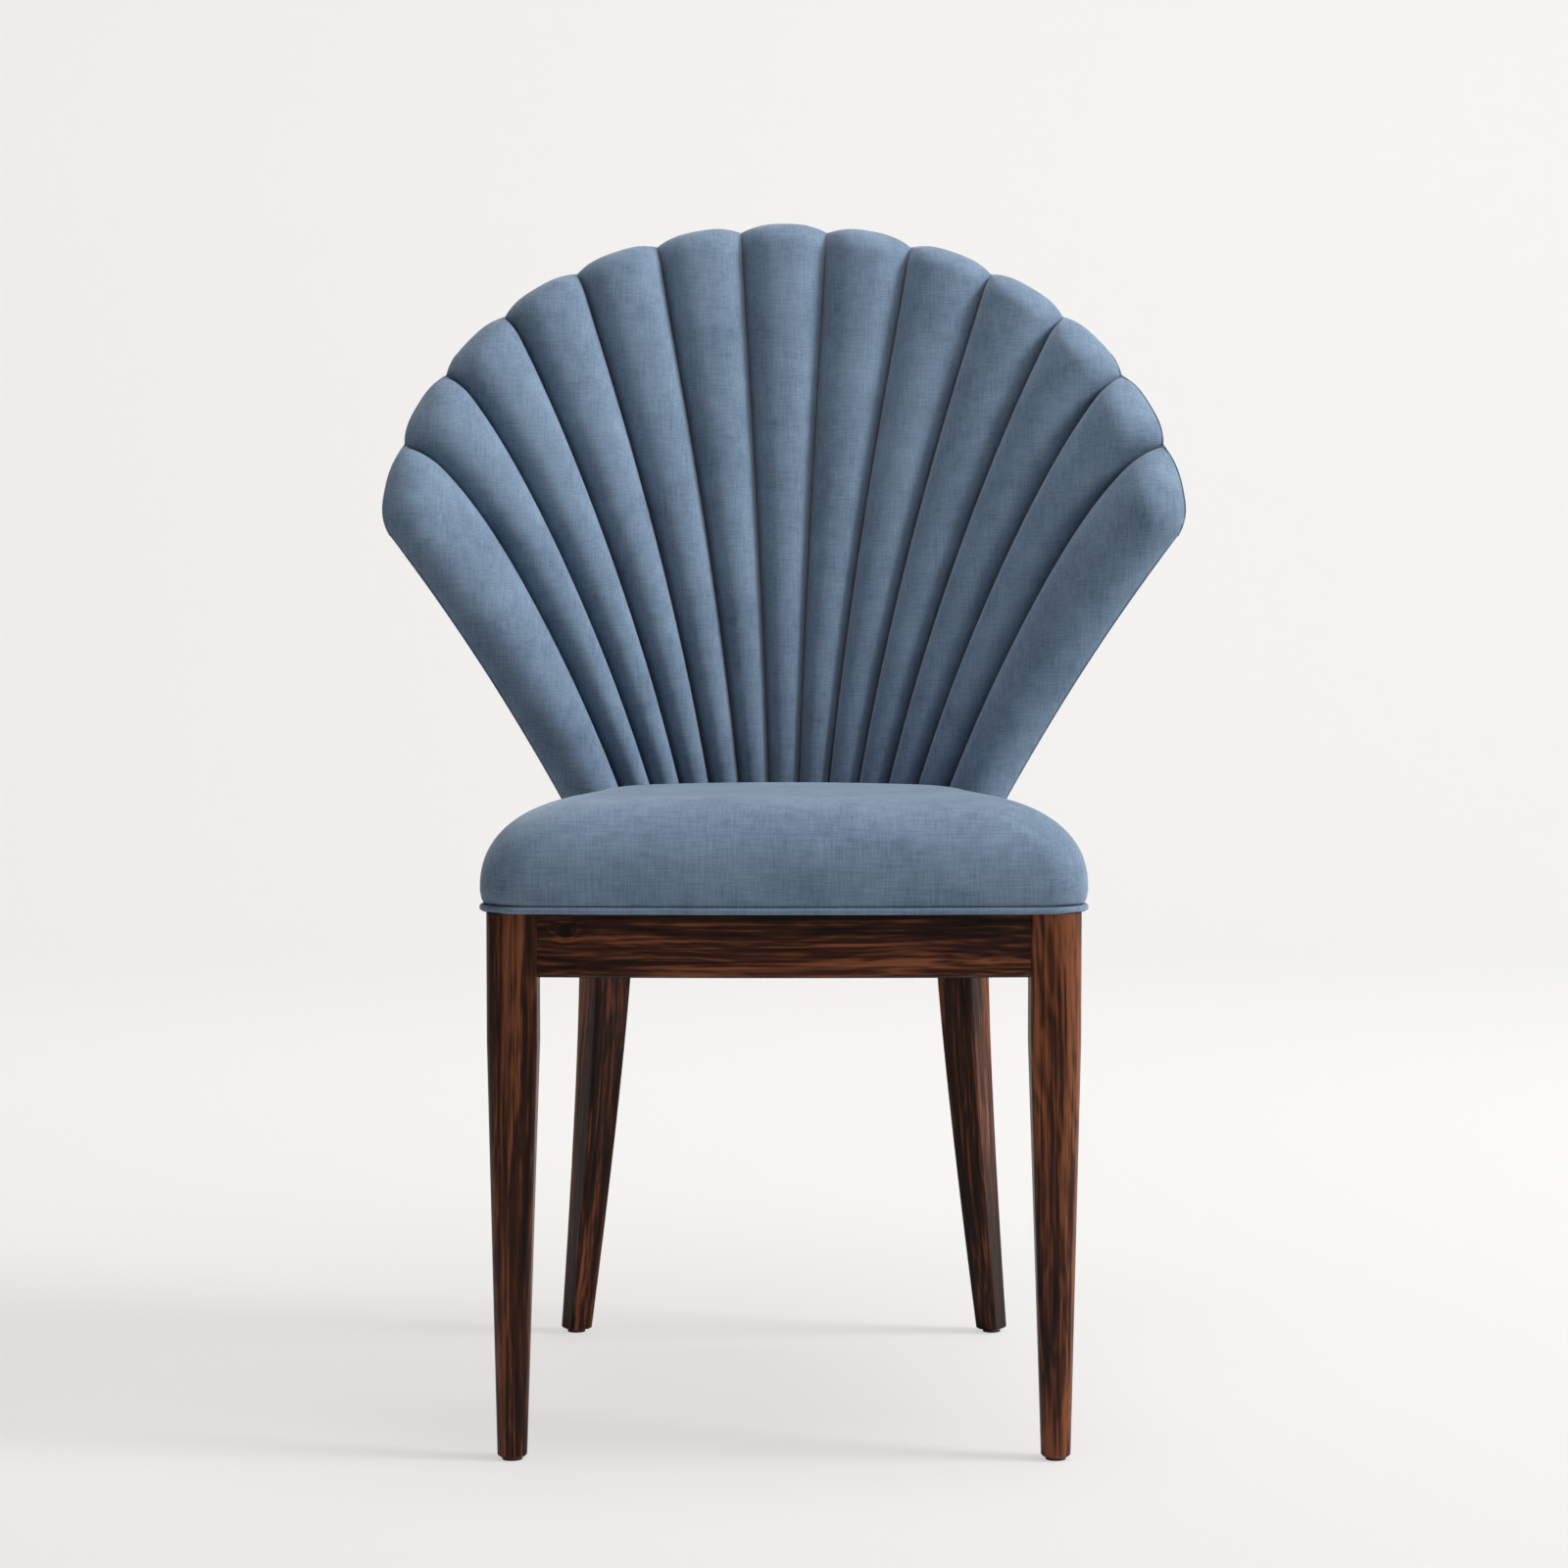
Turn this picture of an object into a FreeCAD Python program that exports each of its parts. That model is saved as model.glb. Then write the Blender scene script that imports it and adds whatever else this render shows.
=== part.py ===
# Upholstered dining chair with a fan-shaped channelled back on a hardwood frame.
# Millimetres, +Z up, front of the chair towards -Y, left and right as seen from the front.
# While it is built, Y = 0 is the front face of the front legs; the finished chair is moved
# so that its origin is the middle of the footprint of its overall box, on the floor.
import FreeCAD
import Part
import math
import os

Vec = FreeCAD.Vector
UP = Vec(0, 0, 1)

# Seat frame
frame_top = 406.0
rail_height = 46.0
frame_half_width = 218.4
rail_thickness = 22.0
rail_reveal = 1.0
front_rail_bow = 6.0
rear_rail_thickness = 24.0
edge_round = 2.0

# Front legs
front_leg_size = 38.0
front_leg_round = 16.0
front_leg_taper_start = 310.0
front_foot_size = 22.0
front_foot_centre = 201.0
front_foot_setback = 16.0
front_foot_flat = 1.0

# Rear legs
rear_leg_size = 34.0
rear_leg_angle = 33.0
rear_leg_round = 3.0
rear_foot_size = 20.5
rear_leg_bend_start = 340.0
rear_foot_splay = 30.0
rear_foot_rake = 75.0
rear_leg_bend_power = 1.25
foot_chamfer = 1.5

# Glides under the feet
glide_diameter = 15.0
glide_thickness = 2.5
glide_nail_diameter = 3.0
glide_nail_length = 14.0

# Curved back: plywood shell, seen in plan as an arc that opens and leans back with height
back_base_radius = 290.0
back_base_depth = 470.0
back_opening = 510.0
back_opening_power = 1.5
back_lean_start = 430.0
back_lean_angle = 12.0
back_lean_blend = 120.0
back_reference_top = 951.0
shell_thickness = 12.0
shell_bottom = 362.0
sector_half_angle = 52.0

# Outline of the back, seen from the front: a crown arc between two tighter shoulder arcs
crown_centre_height = 527.0
crown_radius = 416.0
shoulder_start = 25.2
shoulder_radius = 272.0
tip_angle = 83.0
tip_round = 26.0
side_bottom_half_width = 136.0
side_pull_half_width = 209.0

# Edge welt and outside back
welt_width = 3.0
welt_depth = 4.5
outside_back_thickness = 3.0

# Channel pads
channel_count = 13
channel_width_seat = 27.0
channel_width_pull = 44.2
channel_width_crest = 77.5
channel_seat_line = 481.0
notch_centre_height = 598.0
notch_radius = 347.0
notch_bulge = 13.0
notch_bulge_power = 3
notch_angle_first = 12.4
notch_angle_loss = 0.165
notch_hook_power = 9
pad_depth = 30.0
pad_nose_share = 0.44
pad_nose_most = 18.0
pad_crest_rise = 7.6
wing_crest_rise = 9.5
pad_roll = 32.0
pad_gap = 0.8
pad_floor_gap = 4.0
pad_seat_gap = 0.5

# Seat
seat_board_thickness = 12.0
seat_board_inset = 6.0
seat_board_bearing = 10.0
seat_overhang = 4.0
seat_height = 487.5
seat_roll_height = 57.5
seat_roll_width = 88.0
seat_roll_end = 82.0
seat_hem_tuck = 1.2
seat_front_corner = 34.0
seat_rear_corner = 14.0
seat_board_rear_corner = 42.0
seat_corner_growth = 0.6
seat_front_half_chord = 190.0
cushion_back_gap = 2.0
fabric_thickness = 1.2
seat_piping_diameter = 5.0
dust_cover_thickness = 0.8
dust_cover_inset = 8.0

# Fasteners
dowel_diameter = 8.0
dowel_depth = 26.0
dowel_depth_leg = 16.0
dowel_depth_rear_leg = 12.0
dowel_edge_distance = 11.0
block_leg = 52.0
rear_block_leg = 36.4
block_screw_share_front = 0.4
block_screw_share_side = 0.6
block_inset = 4.0
block_screw_diameter = 4.5
block_screw_bite = 14.0
block_screw_cover = 12.0
block_screw_head = 9.0
screw_head_height = 3.0
bolt_diameter = 6.0
bolt_head_diameter = 10.0
bolt_head_height = 4.0
washer_diameter = 14.0
washer_thickness = 1.5
spot_face_diameter = 16.0
spot_face_depth = 2.0
tee_nut_flange = 17.0
tee_nut_flange_thickness = 1.5
tee_nut_barrel = 8.0
tee_nut_length = 10.0
back_bolt_angles = (8.0, 18.0)

# Clearances
fit_gap = 0.3
bolt_clearance = 0.6

# Sections that the lofted pieces run through: number of spans, or shares of the length
rear_leg_spans = 4
back_spans = 12
seat_roll_spans = 6
pad_stations = (0.0, 0.05, 0.1, 0.15, 0.2, 0.25, 0.3, 0.38, 0.46, 0.54, 0.62, 0.7, 0.78, 0.85,
                0.91, 0.95, 0.98, 1.0)
scallop_stations = (0.5, 0.9)

rail_bottom = frame_top - rail_height
board_top = frame_top + seat_board_thickness
arc_centre = back_base_depth - back_base_radius
pad_bottom = board_top + pad_floor_gap
cushion_bottom = frame_top + seat_piping_diameter + 2 * fit_gap
rear_leg_back = math.sqrt(back_base_radius ** 2 - (rear_leg_size / 2) ** 2)
rear_leg_radius = rear_leg_back - rear_leg_size / 2


def unit(vector):
    return vector * (1.0 / vector.Length)


def blend3(first, pull, last, share):
    """Quadratic curve from first to last, drawn towards pull."""
    rest = 1.0 - share
    return first * rest * rest + 2.0 * pull * share * rest + last * share * share


def radial(angle):
    """Level direction that points backwards from the arc centre at an angle from +Y."""
    return Vec(math.sin(math.radians(angle)), math.cos(math.radians(angle)), 0)


def polar(radius, angle, height):
    return Vec(0, arc_centre, height) + radial(angle) * radius


def prism(points, low, high):
    corners = [Vec(x, y, low) for x, y in points]
    face = Part.Face(Part.makePolygon(corners + corners[:1]))
    return face.extrude(Vec(0, 0, high - low))


def cylinder(start, direction, diameter, length):
    return Part.makeCylinder(diameter / 2, length, start, direction)


def mirrored(shape):
    return shape.mirror(Vec(0, 0, 0), Vec(1, 0, 0))


def arc_edge(start, middle, end):
    return Part.Arc(start, middle, end).toShape()


def line_edge(start, end):
    return Part.LineSegment(start, end).toShape()


def rounded_section(centre, along, across, size_along, size_across, radii):
    """Closed wire of a rectangle with rounded corners; radii go round from +along +across."""
    signs = ((1, 1), (-1, 1), (-1, -1), (1, -1))
    half = (size_along / 2, size_across / 2)
    joins = []
    for (sa, sc), radius in zip(signs, radii):
        corner = centre + along * (sa * half[0]) + across * (sc * half[1])
        hub = corner - along * (sa * radius) - across * (sc * radius)
        on_across = hub + across * (sc * radius)
        on_along = hub + along * (sa * radius)
        middle = hub + (along * sa + across * sc) * (radius / math.sqrt(2.0))
        if sa * sc > 0:
            joins.append((on_along, middle, on_across))
        else:
            joins.append((on_across, middle, on_along))
    edges = []
    for index, (start, middle, end) in enumerate(joins):
        edges.append(arc_edge(start, middle, end))
        edges.append(line_edge(end, joins[(index + 1) % 4][0]))
    return Part.Wire(edges)


def front_leg_section(height, size, centre_x, centre_y, outer_round, other_round):
    centre = Vec(centre_x, centre_y, height)
    radii = (other_round, other_round, other_round, outer_round)
    return rounded_section(centre, Vec(1, 0, 0), Vec(0, 1, 0), size, size, radii)


def front_leg():
    """Right front leg: square and straight at the seat frame, then tapered to a round foot."""
    top_x = frame_half_width - front_leg_size / 2
    top_y = front_leg_size / 2
    foot_round = (front_foot_size - front_foot_flat) / 2
    tip_size = front_foot_size - 2 * foot_chamfer
    tip_round_size = foot_round - foot_chamfer
    foot = (front_foot_centre, front_foot_setback)
    sections = [
        front_leg_section(glide_thickness, tip_size, *foot, tip_round_size, tip_round_size),
        front_leg_section(glide_thickness + foot_chamfer, front_foot_size, *foot,
                          foot_round, foot_round),
        front_leg_section(front_leg_taper_start, front_leg_size, top_x, top_y,
                          front_leg_round, edge_round),
        front_leg_section(frame_top, front_leg_size, top_x, top_y,
                          front_leg_round, edge_round),
    ]
    return Part.makeLoft(sections, True, True)


def rear_leg_axis(height):
    """Centre of the rear leg at a height: upright at the frame, then swept out and back."""
    top = polar(rear_leg_radius, rear_leg_angle, height)
    drop = max(0.0, rear_leg_bend_start - height) / rear_leg_bend_start
    sweep = drop ** rear_leg_bend_power
    return top + Vec(rear_foot_splay, rear_foot_rake, 0) * sweep


def rear_leg_section(height, size):
    along = radial(rear_leg_angle)
    across = Vec(along.y, -along.x, 0)
    radii = (rear_leg_round,) * 4
    return rounded_section(rear_leg_axis(height), along, across, size, size, radii)


def rear_leg():
    """Right rear leg: square, turned to face the centre of the curved back."""
    foot_end = glide_thickness + foot_chamfer
    swept = []
    for index in range(rear_leg_spans + 1):
        share = index / rear_leg_spans
        height = foot_end + (rear_leg_bend_start - foot_end) * share
        size = rear_foot_size + (rear_leg_size - rear_foot_size) * share
        swept.append(rear_leg_section(height, size))
    tip = [rear_leg_section(glide_thickness, rear_foot_size - 2 * foot_chamfer), swept[0]]
    head = [swept[-1], rear_leg_section(frame_top, rear_leg_size)]
    leg = Part.makeLoft(swept, True, False)
    return leg.fuse([Part.makeLoft(tip, True, True), Part.makeLoft(head, True, True)])


def beside_rear_leg(side):
    """Block on one side of the rear leg's flank: 1 beyond the outer face, -1 the inner."""
    along = radial(rear_leg_angle)
    across = Vec(along.y, -along.x, 0)
    reach = 3 * rear_leg_size
    flank = polar(rear_leg_radius, rear_leg_angle, 0) + across * (side * rear_leg_size / 2)
    corners = [flank - along * reach, flank + along * reach,
               flank + along * reach - across * (side * reach),
               flank - along * reach - across * (side * reach)]
    return prism([(p.x, p.y) for p in corners], 0, 2 * frame_top)


def side_line():
    """Start point and direction of the right side rail's outer face, in plan."""
    along = radial(rear_leg_angle)
    across = Vec(along.y, -along.x, 0)
    start = Vec(frame_half_width - rail_reveal, front_leg_size, 0)
    rear_corner = polar(rear_leg_radius, rear_leg_angle, 0)
    rear_corner = rear_corner + (along + across) * (rear_leg_size / 2) - across * rail_reveal
    return start, unit(rear_corner - start)


def side_rail():
    """Right side rail, butted on the front leg and cut to the rear leg's outer flank."""
    start, along = side_line()
    inward = Vec(-along.y, along.x, 0)
    length = back_base_depth
    inner_start = start + inward * rail_thickness
    inner_start = inner_start - along * ((inner_start.y - start.y) / along.y)
    corners = [start, start + along * length, inner_start + along * length, inner_start]
    rail = prism([(p.x, p.y) for p in corners], rail_bottom, frame_top)
    return rail.cut(beside_rear_leg(1))


def front_rail():
    """Front rail with a bowed face, between the inner faces of the front legs."""
    half = frame_half_width - front_leg_size
    rear = rail_reveal + rail_thickness
    ends = [Vec(-half, rail_reveal, rail_bottom), Vec(half, rail_reveal, rail_bottom)]
    crown = Vec(0, rail_reveal - front_rail_bow, rail_bottom)
    edges = [arc_edge(ends[0], crown, ends[1]),
             line_edge(ends[1], Vec(half, rear, rail_bottom)),
             line_edge(Vec(half, rear, rail_bottom), Vec(-half, rear, rail_bottom)),
             line_edge(Vec(-half, rear, rail_bottom), ends[0])]
    rail = Part.Face(Part.Wire(edges)).extrude(Vec(0, 0, rail_height))
    lower_front = [edge for edge in rail.Edges
                   if edge.BoundBox.ZMax < rail_bottom + 1 and edge.BoundBox.YMax < rail_reveal + 1
                   and edge.BoundBox.XLength > half]
    return rail.makeFillet(edge_round, lower_front)


def sector(inner, outer, half_angle, low, high):
    """Ring sector about the vertical axis of the back's base arc."""
    corners = []
    for angle in (-half_angle, 0, half_angle):
        corners.append((polar(inner, angle, low), polar(outer, angle, low)))
    edges = [arc_edge(corners[0][0], corners[1][0], corners[2][0]),
             line_edge(corners[2][0], corners[2][1]),
             arc_edge(corners[2][1], corners[1][1], corners[0][1]),
             line_edge(corners[0][1], corners[0][0])]
    return Part.Face(Part.Wire(edges)).extrude(Vec(0, 0, high - low))


def rear_rail():
    inner = back_base_radius - rear_rail_thickness
    rail = sector(inner, back_base_radius, rear_leg_angle, rail_bottom, frame_top)
    right = beside_rear_leg(-1)
    return rail.cut([right, mirrored(right)])


def back_radius(height):
    span = back_reference_top - back_lean_start
    share = max(0.0, height - back_lean_start) / span
    return back_base_radius + back_opening * share ** back_opening_power


def back_line(height):
    """Depth of the shell's front face on the centre line: upright, then leaning back."""
    rise = max(0.0, height - back_lean_start)
    slope = math.tan(math.radians(back_lean_angle))
    if rise < back_lean_blend:
        return back_base_depth + slope * rise * rise / (2 * back_lean_blend)
    return back_base_depth + slope * (rise - back_lean_blend / 2)


def back_point(x, height, forward):
    """Point in front of the shell's face by a level distance towards the arc centre."""
    radius = back_radius(height)
    angle = math.asin(x / radius)
    reach = radius - forward
    depth = back_line(height) - radius + reach * math.cos(angle)
    return Vec(reach * math.sin(angle), depth, height)


def back_normal(x, height):
    """Forward normal of the shell's face."""
    radius = back_radius(height)
    across = -x / math.sqrt(radius * radius - x * x)
    lean = (back_point(x, height + 1, 0).y - back_point(x, height - 1, 0).y) / 2
    return unit(Vec(across, -1, lean))


def back_layer(front, rear):
    """Curved slab between two level distances behind the shell's front face: an upright
    ring sector at the seat frame, then opening and leaning back."""
    foot = sector(back_base_radius + front, back_base_radius + rear, sector_half_angle,
                  shell_bottom, back_lean_start)
    rise = back_reference_top + 2 * pad_crest_rise - back_lean_start
    heights = [back_lean_start + rise * index / back_spans for index in range(back_spans + 1)]
    sections = []
    for height in heights:
        radius = back_radius(height)
        middle = Vec(0, back_line(height) - radius, height)
        arcs = []
        for reach in (radius + front, radius + rear):
            points = [middle + radial(a) * reach
                      for a in (-sector_half_angle, 0, sector_half_angle)]
            arcs.append(points)
        near, far = arcs
        edges = [arc_edge(*near), line_edge(near[2], far[2]),
                 arc_edge(far[2], far[1], far[0]), line_edge(far[0], near[0])]
        sections.append(Part.Wire(edges))
    return foot.fuse(Part.makeLoft(sections, True, False))


def up_at(angle):
    """Direction seen from the front, at an angle from straight up towards the right."""
    return Vec(math.sin(math.radians(angle)), 0, math.cos(math.radians(angle)))


def shoulder_point(inset, angle):
    """Point on the right shoulder arc, moved inwards by inset."""
    crown = Vec(0, 0, crown_centre_height)
    centre = crown + up_at(shoulder_start) * (crown_radius - shoulder_radius)
    return centre + up_at(angle) * (shoulder_radius - inset)


def side_edge(inset):
    """Lower end, pull point and upper end of the back's right side edge, moved inwards."""
    tip = shoulder_point(0, tip_angle)
    lean = math.atan2(tip.x - side_bottom_half_width, tip.z - shell_bottom)
    shift = inset / math.cos(lean)
    bottom = Vec(side_bottom_half_width - shift, 0, shell_bottom)
    pull = Vec(side_pull_half_width - shift, 0, (shell_bottom + tip.z) / 2)
    return bottom, pull, shoulder_point(inset, tip_angle)


def back_outline(inset):
    """Front-to-back prism with the outline of the back, moved inwards by inset."""
    bottom, pull, tip = side_edge(inset)
    side = Part.BezierCurve()
    side.setPoles([bottom, pull, tip])
    flip = Part.BezierCurve()
    flip.setPoles([Vec(-p.x, 0, p.z) for p in (tip, pull, bottom)])
    crown = Vec(0, 0, crown_centre_height + crown_radius - inset)
    shoulder = [shoulder_point(inset, angle)
                for angle in (tip_angle, (tip_angle + shoulder_start) / 2, shoulder_start)]
    other = [Vec(-p.x, 0, p.z) for p in reversed(shoulder)]
    left_bottom = Vec(-bottom.x, 0, bottom.z)
    edges = [side.toShape(), arc_edge(*shoulder), arc_edge(shoulder[2], crown, other[0]),
             arc_edge(*other), flip.toShape(), line_edge(left_bottom, bottom)]
    face = Part.Face(Part.Wire(edges))
    solid = face.extrude(Vec(0, 2 * back_base_depth, 0))
    tips = [edge for edge in solid.Edges
            if edge.BoundBox.ZLength < 1 and edge.BoundBox.XLength < 1
            and abs(edge.BoundBox.ZMin - tip.z) < 1]
    return solid.makeFillet(tip_round - inset, tips)


def bolt_places():
    """Angles of the bolts that hold the back: through the rear rail and both rear legs."""
    angles = list(back_bolt_angles) + [rear_leg_angle]
    return [-a for a in angles] + angles


def bolt_level():
    return (rail_bottom + frame_top) / 2


def bolt_seat():
    return back_base_radius - rear_rail_thickness + spot_face_depth


def back_shell():
    shell = back_layer(0, shell_thickness).common(back_outline(welt_width))
    outside = back_base_radius + shell_thickness
    holes = []
    for angle in bolt_places():
        start = polar(back_base_radius - 1, angle, bolt_level())
        holes.append(cylinder(start, radial(angle), tee_nut_barrel, shell_thickness + 2))
        recess = polar(outside - tee_nut_flange_thickness, angle, bolt_level())
        holes.append(cylinder(recess, radial(angle), tee_nut_flange + bolt_clearance,
                              2 * tee_nut_flange_thickness))
    return shell.cut(holes)


def outside_back():
    front = shell_thickness + fit_gap
    layer = back_layer(front, front + outside_back_thickness)
    return layer.common(back_outline(welt_width + fit_gap))


def edge_welt():
    front = shell_thickness + fit_gap
    layer = back_layer(front, front + welt_depth)
    ring = back_outline(0).cut(back_outline(welt_width))
    below = Part.makeBox(4 * crown_radius, 4 * back_base_depth, shell_bottom + welt_width,
                         Vec(-2 * crown_radius, -back_base_depth, 0))
    return layer.common(ring).cut(below)


def channel_spacing(height):
    """Distance between neighbouring grooves at a height."""
    crest = notch_centre_height + notch_radius
    share = (height - channel_seat_line) / (crest - channel_seat_line)
    return blend3(channel_width_seat, channel_width_pull, channel_width_crest, share)


def outer_groove():
    return channel_count / 2


def groove_top(place):
    """Notch at the rim where a groove ends; the outermost place is the wing's tip."""
    index = abs(place)
    if index == outer_groove():
        return side_edge(welt_width)[2] - Vec(0, 0, tip_round / 2)
    angle = index * (notch_angle_first - notch_angle_loss * index)
    bulge = notch_bulge * math.sin(math.radians(2 * angle)) ** notch_bulge_power
    return Vec(0, 0, notch_centre_height) + up_at(angle) * (notch_radius + bulge)


def groove_point(place, share):
    """Groove number place, seen from the front, at a share of its way up to the rim."""
    index = abs(place)
    top = groove_top(place)
    height = pad_bottom + (top.z - pad_bottom) * share
    if index == outer_groove():
        bottom, pull, tip = side_edge(welt_width)
        along = (height - bottom.z) / (tip.z - bottom.z)
        x = blend3(bottom.x, pull.x, tip.x, along)
    else:
        hook = top.x / (index * channel_spacing(top.z)) - 1.0
        x = index * channel_spacing(height) * (1.0 + hook * share ** notch_hook_power)
    return math.copysign(x, place), height


def crest_rise(number):
    wing = abs(number) + 0.5 == outer_groove()
    return wing_crest_rise if wing else pad_crest_rise


def pad_length(number):
    """Length of a pad seen from the front, between its grooves' middles."""
    ends = []
    for share in (0.0, 1.0):
        left, right = [groove_point(number + side, share) for side in (-0.5, 0.5)]
        ends.append(((left[0] + right[0]) / 2, (left[1] + right[1]) / 2))
    return math.dist(*ends)


def pad_section(number, share, rise, skin):
    """Cross-section of one channel pad: flat on the shell, two flanks and a rounded nose.

    share runs from the seat to the notches, rise goes on above them into the scallop, and
    skin is how far the section lies inside the cover's outer face."""
    edges_at = [groove_point(number + side, share) for side in (-0.5, 0.5)]
    feet = [back_point(x, z, pad_seat_gap) for x, z in edges_at]
    across = unit(feet[1] - feet[0])
    middle = (feet[0] + feet[1]) * 0.5
    facing = back_normal(middle.x, middle.z)
    out = unit(facing - across * facing.dot(across))
    rim = out.cross(across)
    if rim.z < 0:
        rim = rim * -1.0
    width = (feet[1] - feet[0]).Length - pad_gap
    crest = crest_rise(number)
    to_crest = crest - rise + (1.0 - share) * pad_length(number)
    curl = max(0.0, 1.0 - max(0.0, to_crest) / pad_roll)
    depth = pad_depth * math.sqrt(1.0 - curl * curl)
    nose = min(pad_nose_share * width, pad_nose_most)
    flank = max(depth - nose, edge_round / 2)
    scallop = (width * width / 4 + crest ** 2) / (2 * crest)
    chord = math.sqrt(max(scallop ** 2 - (scallop - crest + rise) ** 2, 1.0))
    half = min(width / 2, chord) - skin
    flank = max(flank - skin, edge_round / 4)
    depth = depth - skin
    sides = []
    for sign, (x, z) in zip((-1, 1), edges_at):
        lean = back_normal(x, z)
        lean = unit(lean - rim * lean.dot(rim))
        foot = middle + rim * rise + across * (sign * half)
        sides.append((foot, foot + lean * flank))
    behind = (back_point(middle.x, middle.z, pad_seat_gap) - middle).dot(out)
    sag = behind * (2 * half / width) ** 2
    hollow = middle + rim * rise + out * sag
    peak = middle + rim * rise + out * depth
    (left, left_top), (right, right_top) = sides
    return Part.Wire([arc_edge(left, hollow, right), line_edge(right, right_top),
                      arc_edge(right_top, peak, left_top), line_edge(left_top, left)])


def channel_pad(number, skin):
    sections = [pad_section(number, share, 0.0, skin) for share in pad_stations]
    for part in scallop_stations:
        sections.append(pad_section(number, 1.0, part * crest_rise(number), skin))
    return Part.makeLoft(sections, True, True)


def tangent_corner(inset, rounding, hub, reach, ahead):
    """Rounded corner between the right side line and a circle about hub.

    Both are already moved inwards by inset. Returns the point on the side line, the middle
    of the corner's arc and the point on the circle."""
    start, along = side_line()
    start = start + Vec(seat_overhang + rail_reveal, 0, 0)
    inward = Vec(-along.y, along.x, 0)
    origin = start + inward * (inset + rounding) - hub
    middle = -origin.dot(along)
    swing = math.sqrt(middle * middle - origin.dot(origin) + (reach - rounding) ** 2)
    centre = hub + origin + along * (middle + ahead * swing)
    to_side = inward * -1.0
    to_circle = unit(centre - hub)
    return (centre + to_side * rounding, centre + unit(to_side + to_circle) * rounding,
            centre + to_circle * rounding)


def seat_edges(height, inset, front_corner, rear_corner, rear_radius):
    """Edges of the seat's plan, from the bowed front round to the right, rear and left."""
    bow_radius = (seat_front_half_chord ** 2 + front_rail_bow ** 2) / (2 * front_rail_bow)
    front_hub = Vec(0, bow_radius - front_rail_bow - seat_overhang, 0)
    rear_hub = Vec(0, arc_centre, 0)
    front = tangent_corner(inset, front_corner, front_hub, bow_radius - inset, -1)
    rear = tangent_corner(inset, rear_corner, rear_hub, rear_radius, 1)
    lift = Vec(0, 0, height)
    right = [point + lift for point in (front[2], front[1], front[0], rear[0], rear[1], rear[2])]
    left = [Vec(-point.x, point.y, point.z) for point in right]
    crown = front_hub + Vec(0, inset - bow_radius, 0) + lift
    tail = rear_hub + Vec(0, rear_radius, 0) + lift
    return [arc_edge(left[0], crown, right[0]),
            arc_edge(right[0], right[1], right[2]), line_edge(right[2], right[3]),
            arc_edge(right[3], right[4], right[5]), arc_edge(right[5], tail, left[5]),
            arc_edge(left[5], left[4], left[3]), line_edge(left[3], left[2]),
            arc_edge(left[2], left[1], left[0])]


def cushion(skin):
    """Crowned seat form, a skin thickness inside the outer face of the cover."""
    rear = back_base_radius - pad_depth - cushion_back_gap
    roll_start = seat_height - seat_roll_height
    levels = [(cushion_bottom, seat_hem_tuck)]
    for index in range(seat_roll_spans + 1):
        turn = math.radians(seat_roll_end * index / seat_roll_spans)
        height = roll_start + (seat_roll_height - skin) * math.sin(turn)
        levels.append((height, seat_roll_width * (1 - math.cos(turn))))
    sections = []
    for height, roll in levels:
        inset = roll + skin
        growth = seat_corner_growth * inset
        edges = seat_edges(height, inset, seat_front_corner + growth,
                           seat_rear_corner + growth, rear - inset)
        sections.append(Part.Wire(edges))
    return Part.makeLoft(sections, True, False)


def seat_board(grow):
    rear = back_base_radius - rear_rail_thickness + seat_board_bearing + grow
    edges = seat_edges(frame_top - grow, seat_board_inset - grow,
                       seat_front_corner - seat_board_inset + grow,
                       seat_board_rear_corner + grow, rear)
    face = Part.Face(Part.Wire(edges))
    return face.extrude(Vec(0, 0, seat_board_thickness + 2 * grow))


def seat_cover():
    return cushion(0).cut(cushion(fabric_thickness)).cut(seat_board(fit_gap))


def seat_foam():
    return cushion(fabric_thickness + fit_gap).cut(seat_board(fit_gap))


def seat_piping():
    radius = seat_piping_diameter / 2
    inset = seat_board_inset - fit_gap - radius
    rear = back_base_radius - pad_depth - cushion_back_gap
    edges = seat_edges(frame_top + fit_gap + radius, inset, seat_front_corner - inset,
                       seat_rear_corner, rear)
    path = Part.Wire([edges[6], edges[7], edges[0], edges[1], edges[2]])
    start = edges[6].valueAt(edges[6].FirstParameter)
    along = edges[6].tangentAt(edges[6].FirstParameter)
    section = Part.Wire(Part.Circle(start, along, radius).toShape())
    return path.makePipeShell([section], True, False)


def square_prism(leg_x, leg_y, angle, size, low, high):
    along = radial(angle)
    across = Vec(along.y, -along.x, 0)
    half = size / 2
    corners = [Vec(leg_x, leg_y, 0) + along * (a * half) + across * (c * half)
               for a, c in ((1, 1), (-1, 1), (-1, -1), (1, -1))]
    return prism([(p.x, p.y) for p in corners], low, high)


def dust_cover():
    """Thin cloth under the seat frame, cut round the four legs."""
    inset = seat_overhang + dust_cover_inset
    top = rail_bottom - fit_gap
    edges = seat_edges(top - dust_cover_thickness, inset, seat_front_corner,
                       seat_rear_corner, back_base_radius - dust_cover_inset)
    cloth = Part.Face(Part.Wire(edges)).extrude(Vec(0, 0, dust_cover_thickness))
    low = top - 2 * dust_cover_thickness
    front_mid = frame_half_width - front_leg_size / 2
    front = square_prism(front_mid, front_leg_size / 2, 0, front_leg_size + 4 * fit_gap,
                         low, frame_top)
    hub = polar(rear_leg_radius, rear_leg_angle, 0)
    rear = square_prism(hub.x, hub.y, rear_leg_angle, rear_leg_size + 4 * fit_gap,
                        low, frame_top)
    return cloth.cut([front, mirrored(front), rear, mirrored(rear)])


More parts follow.
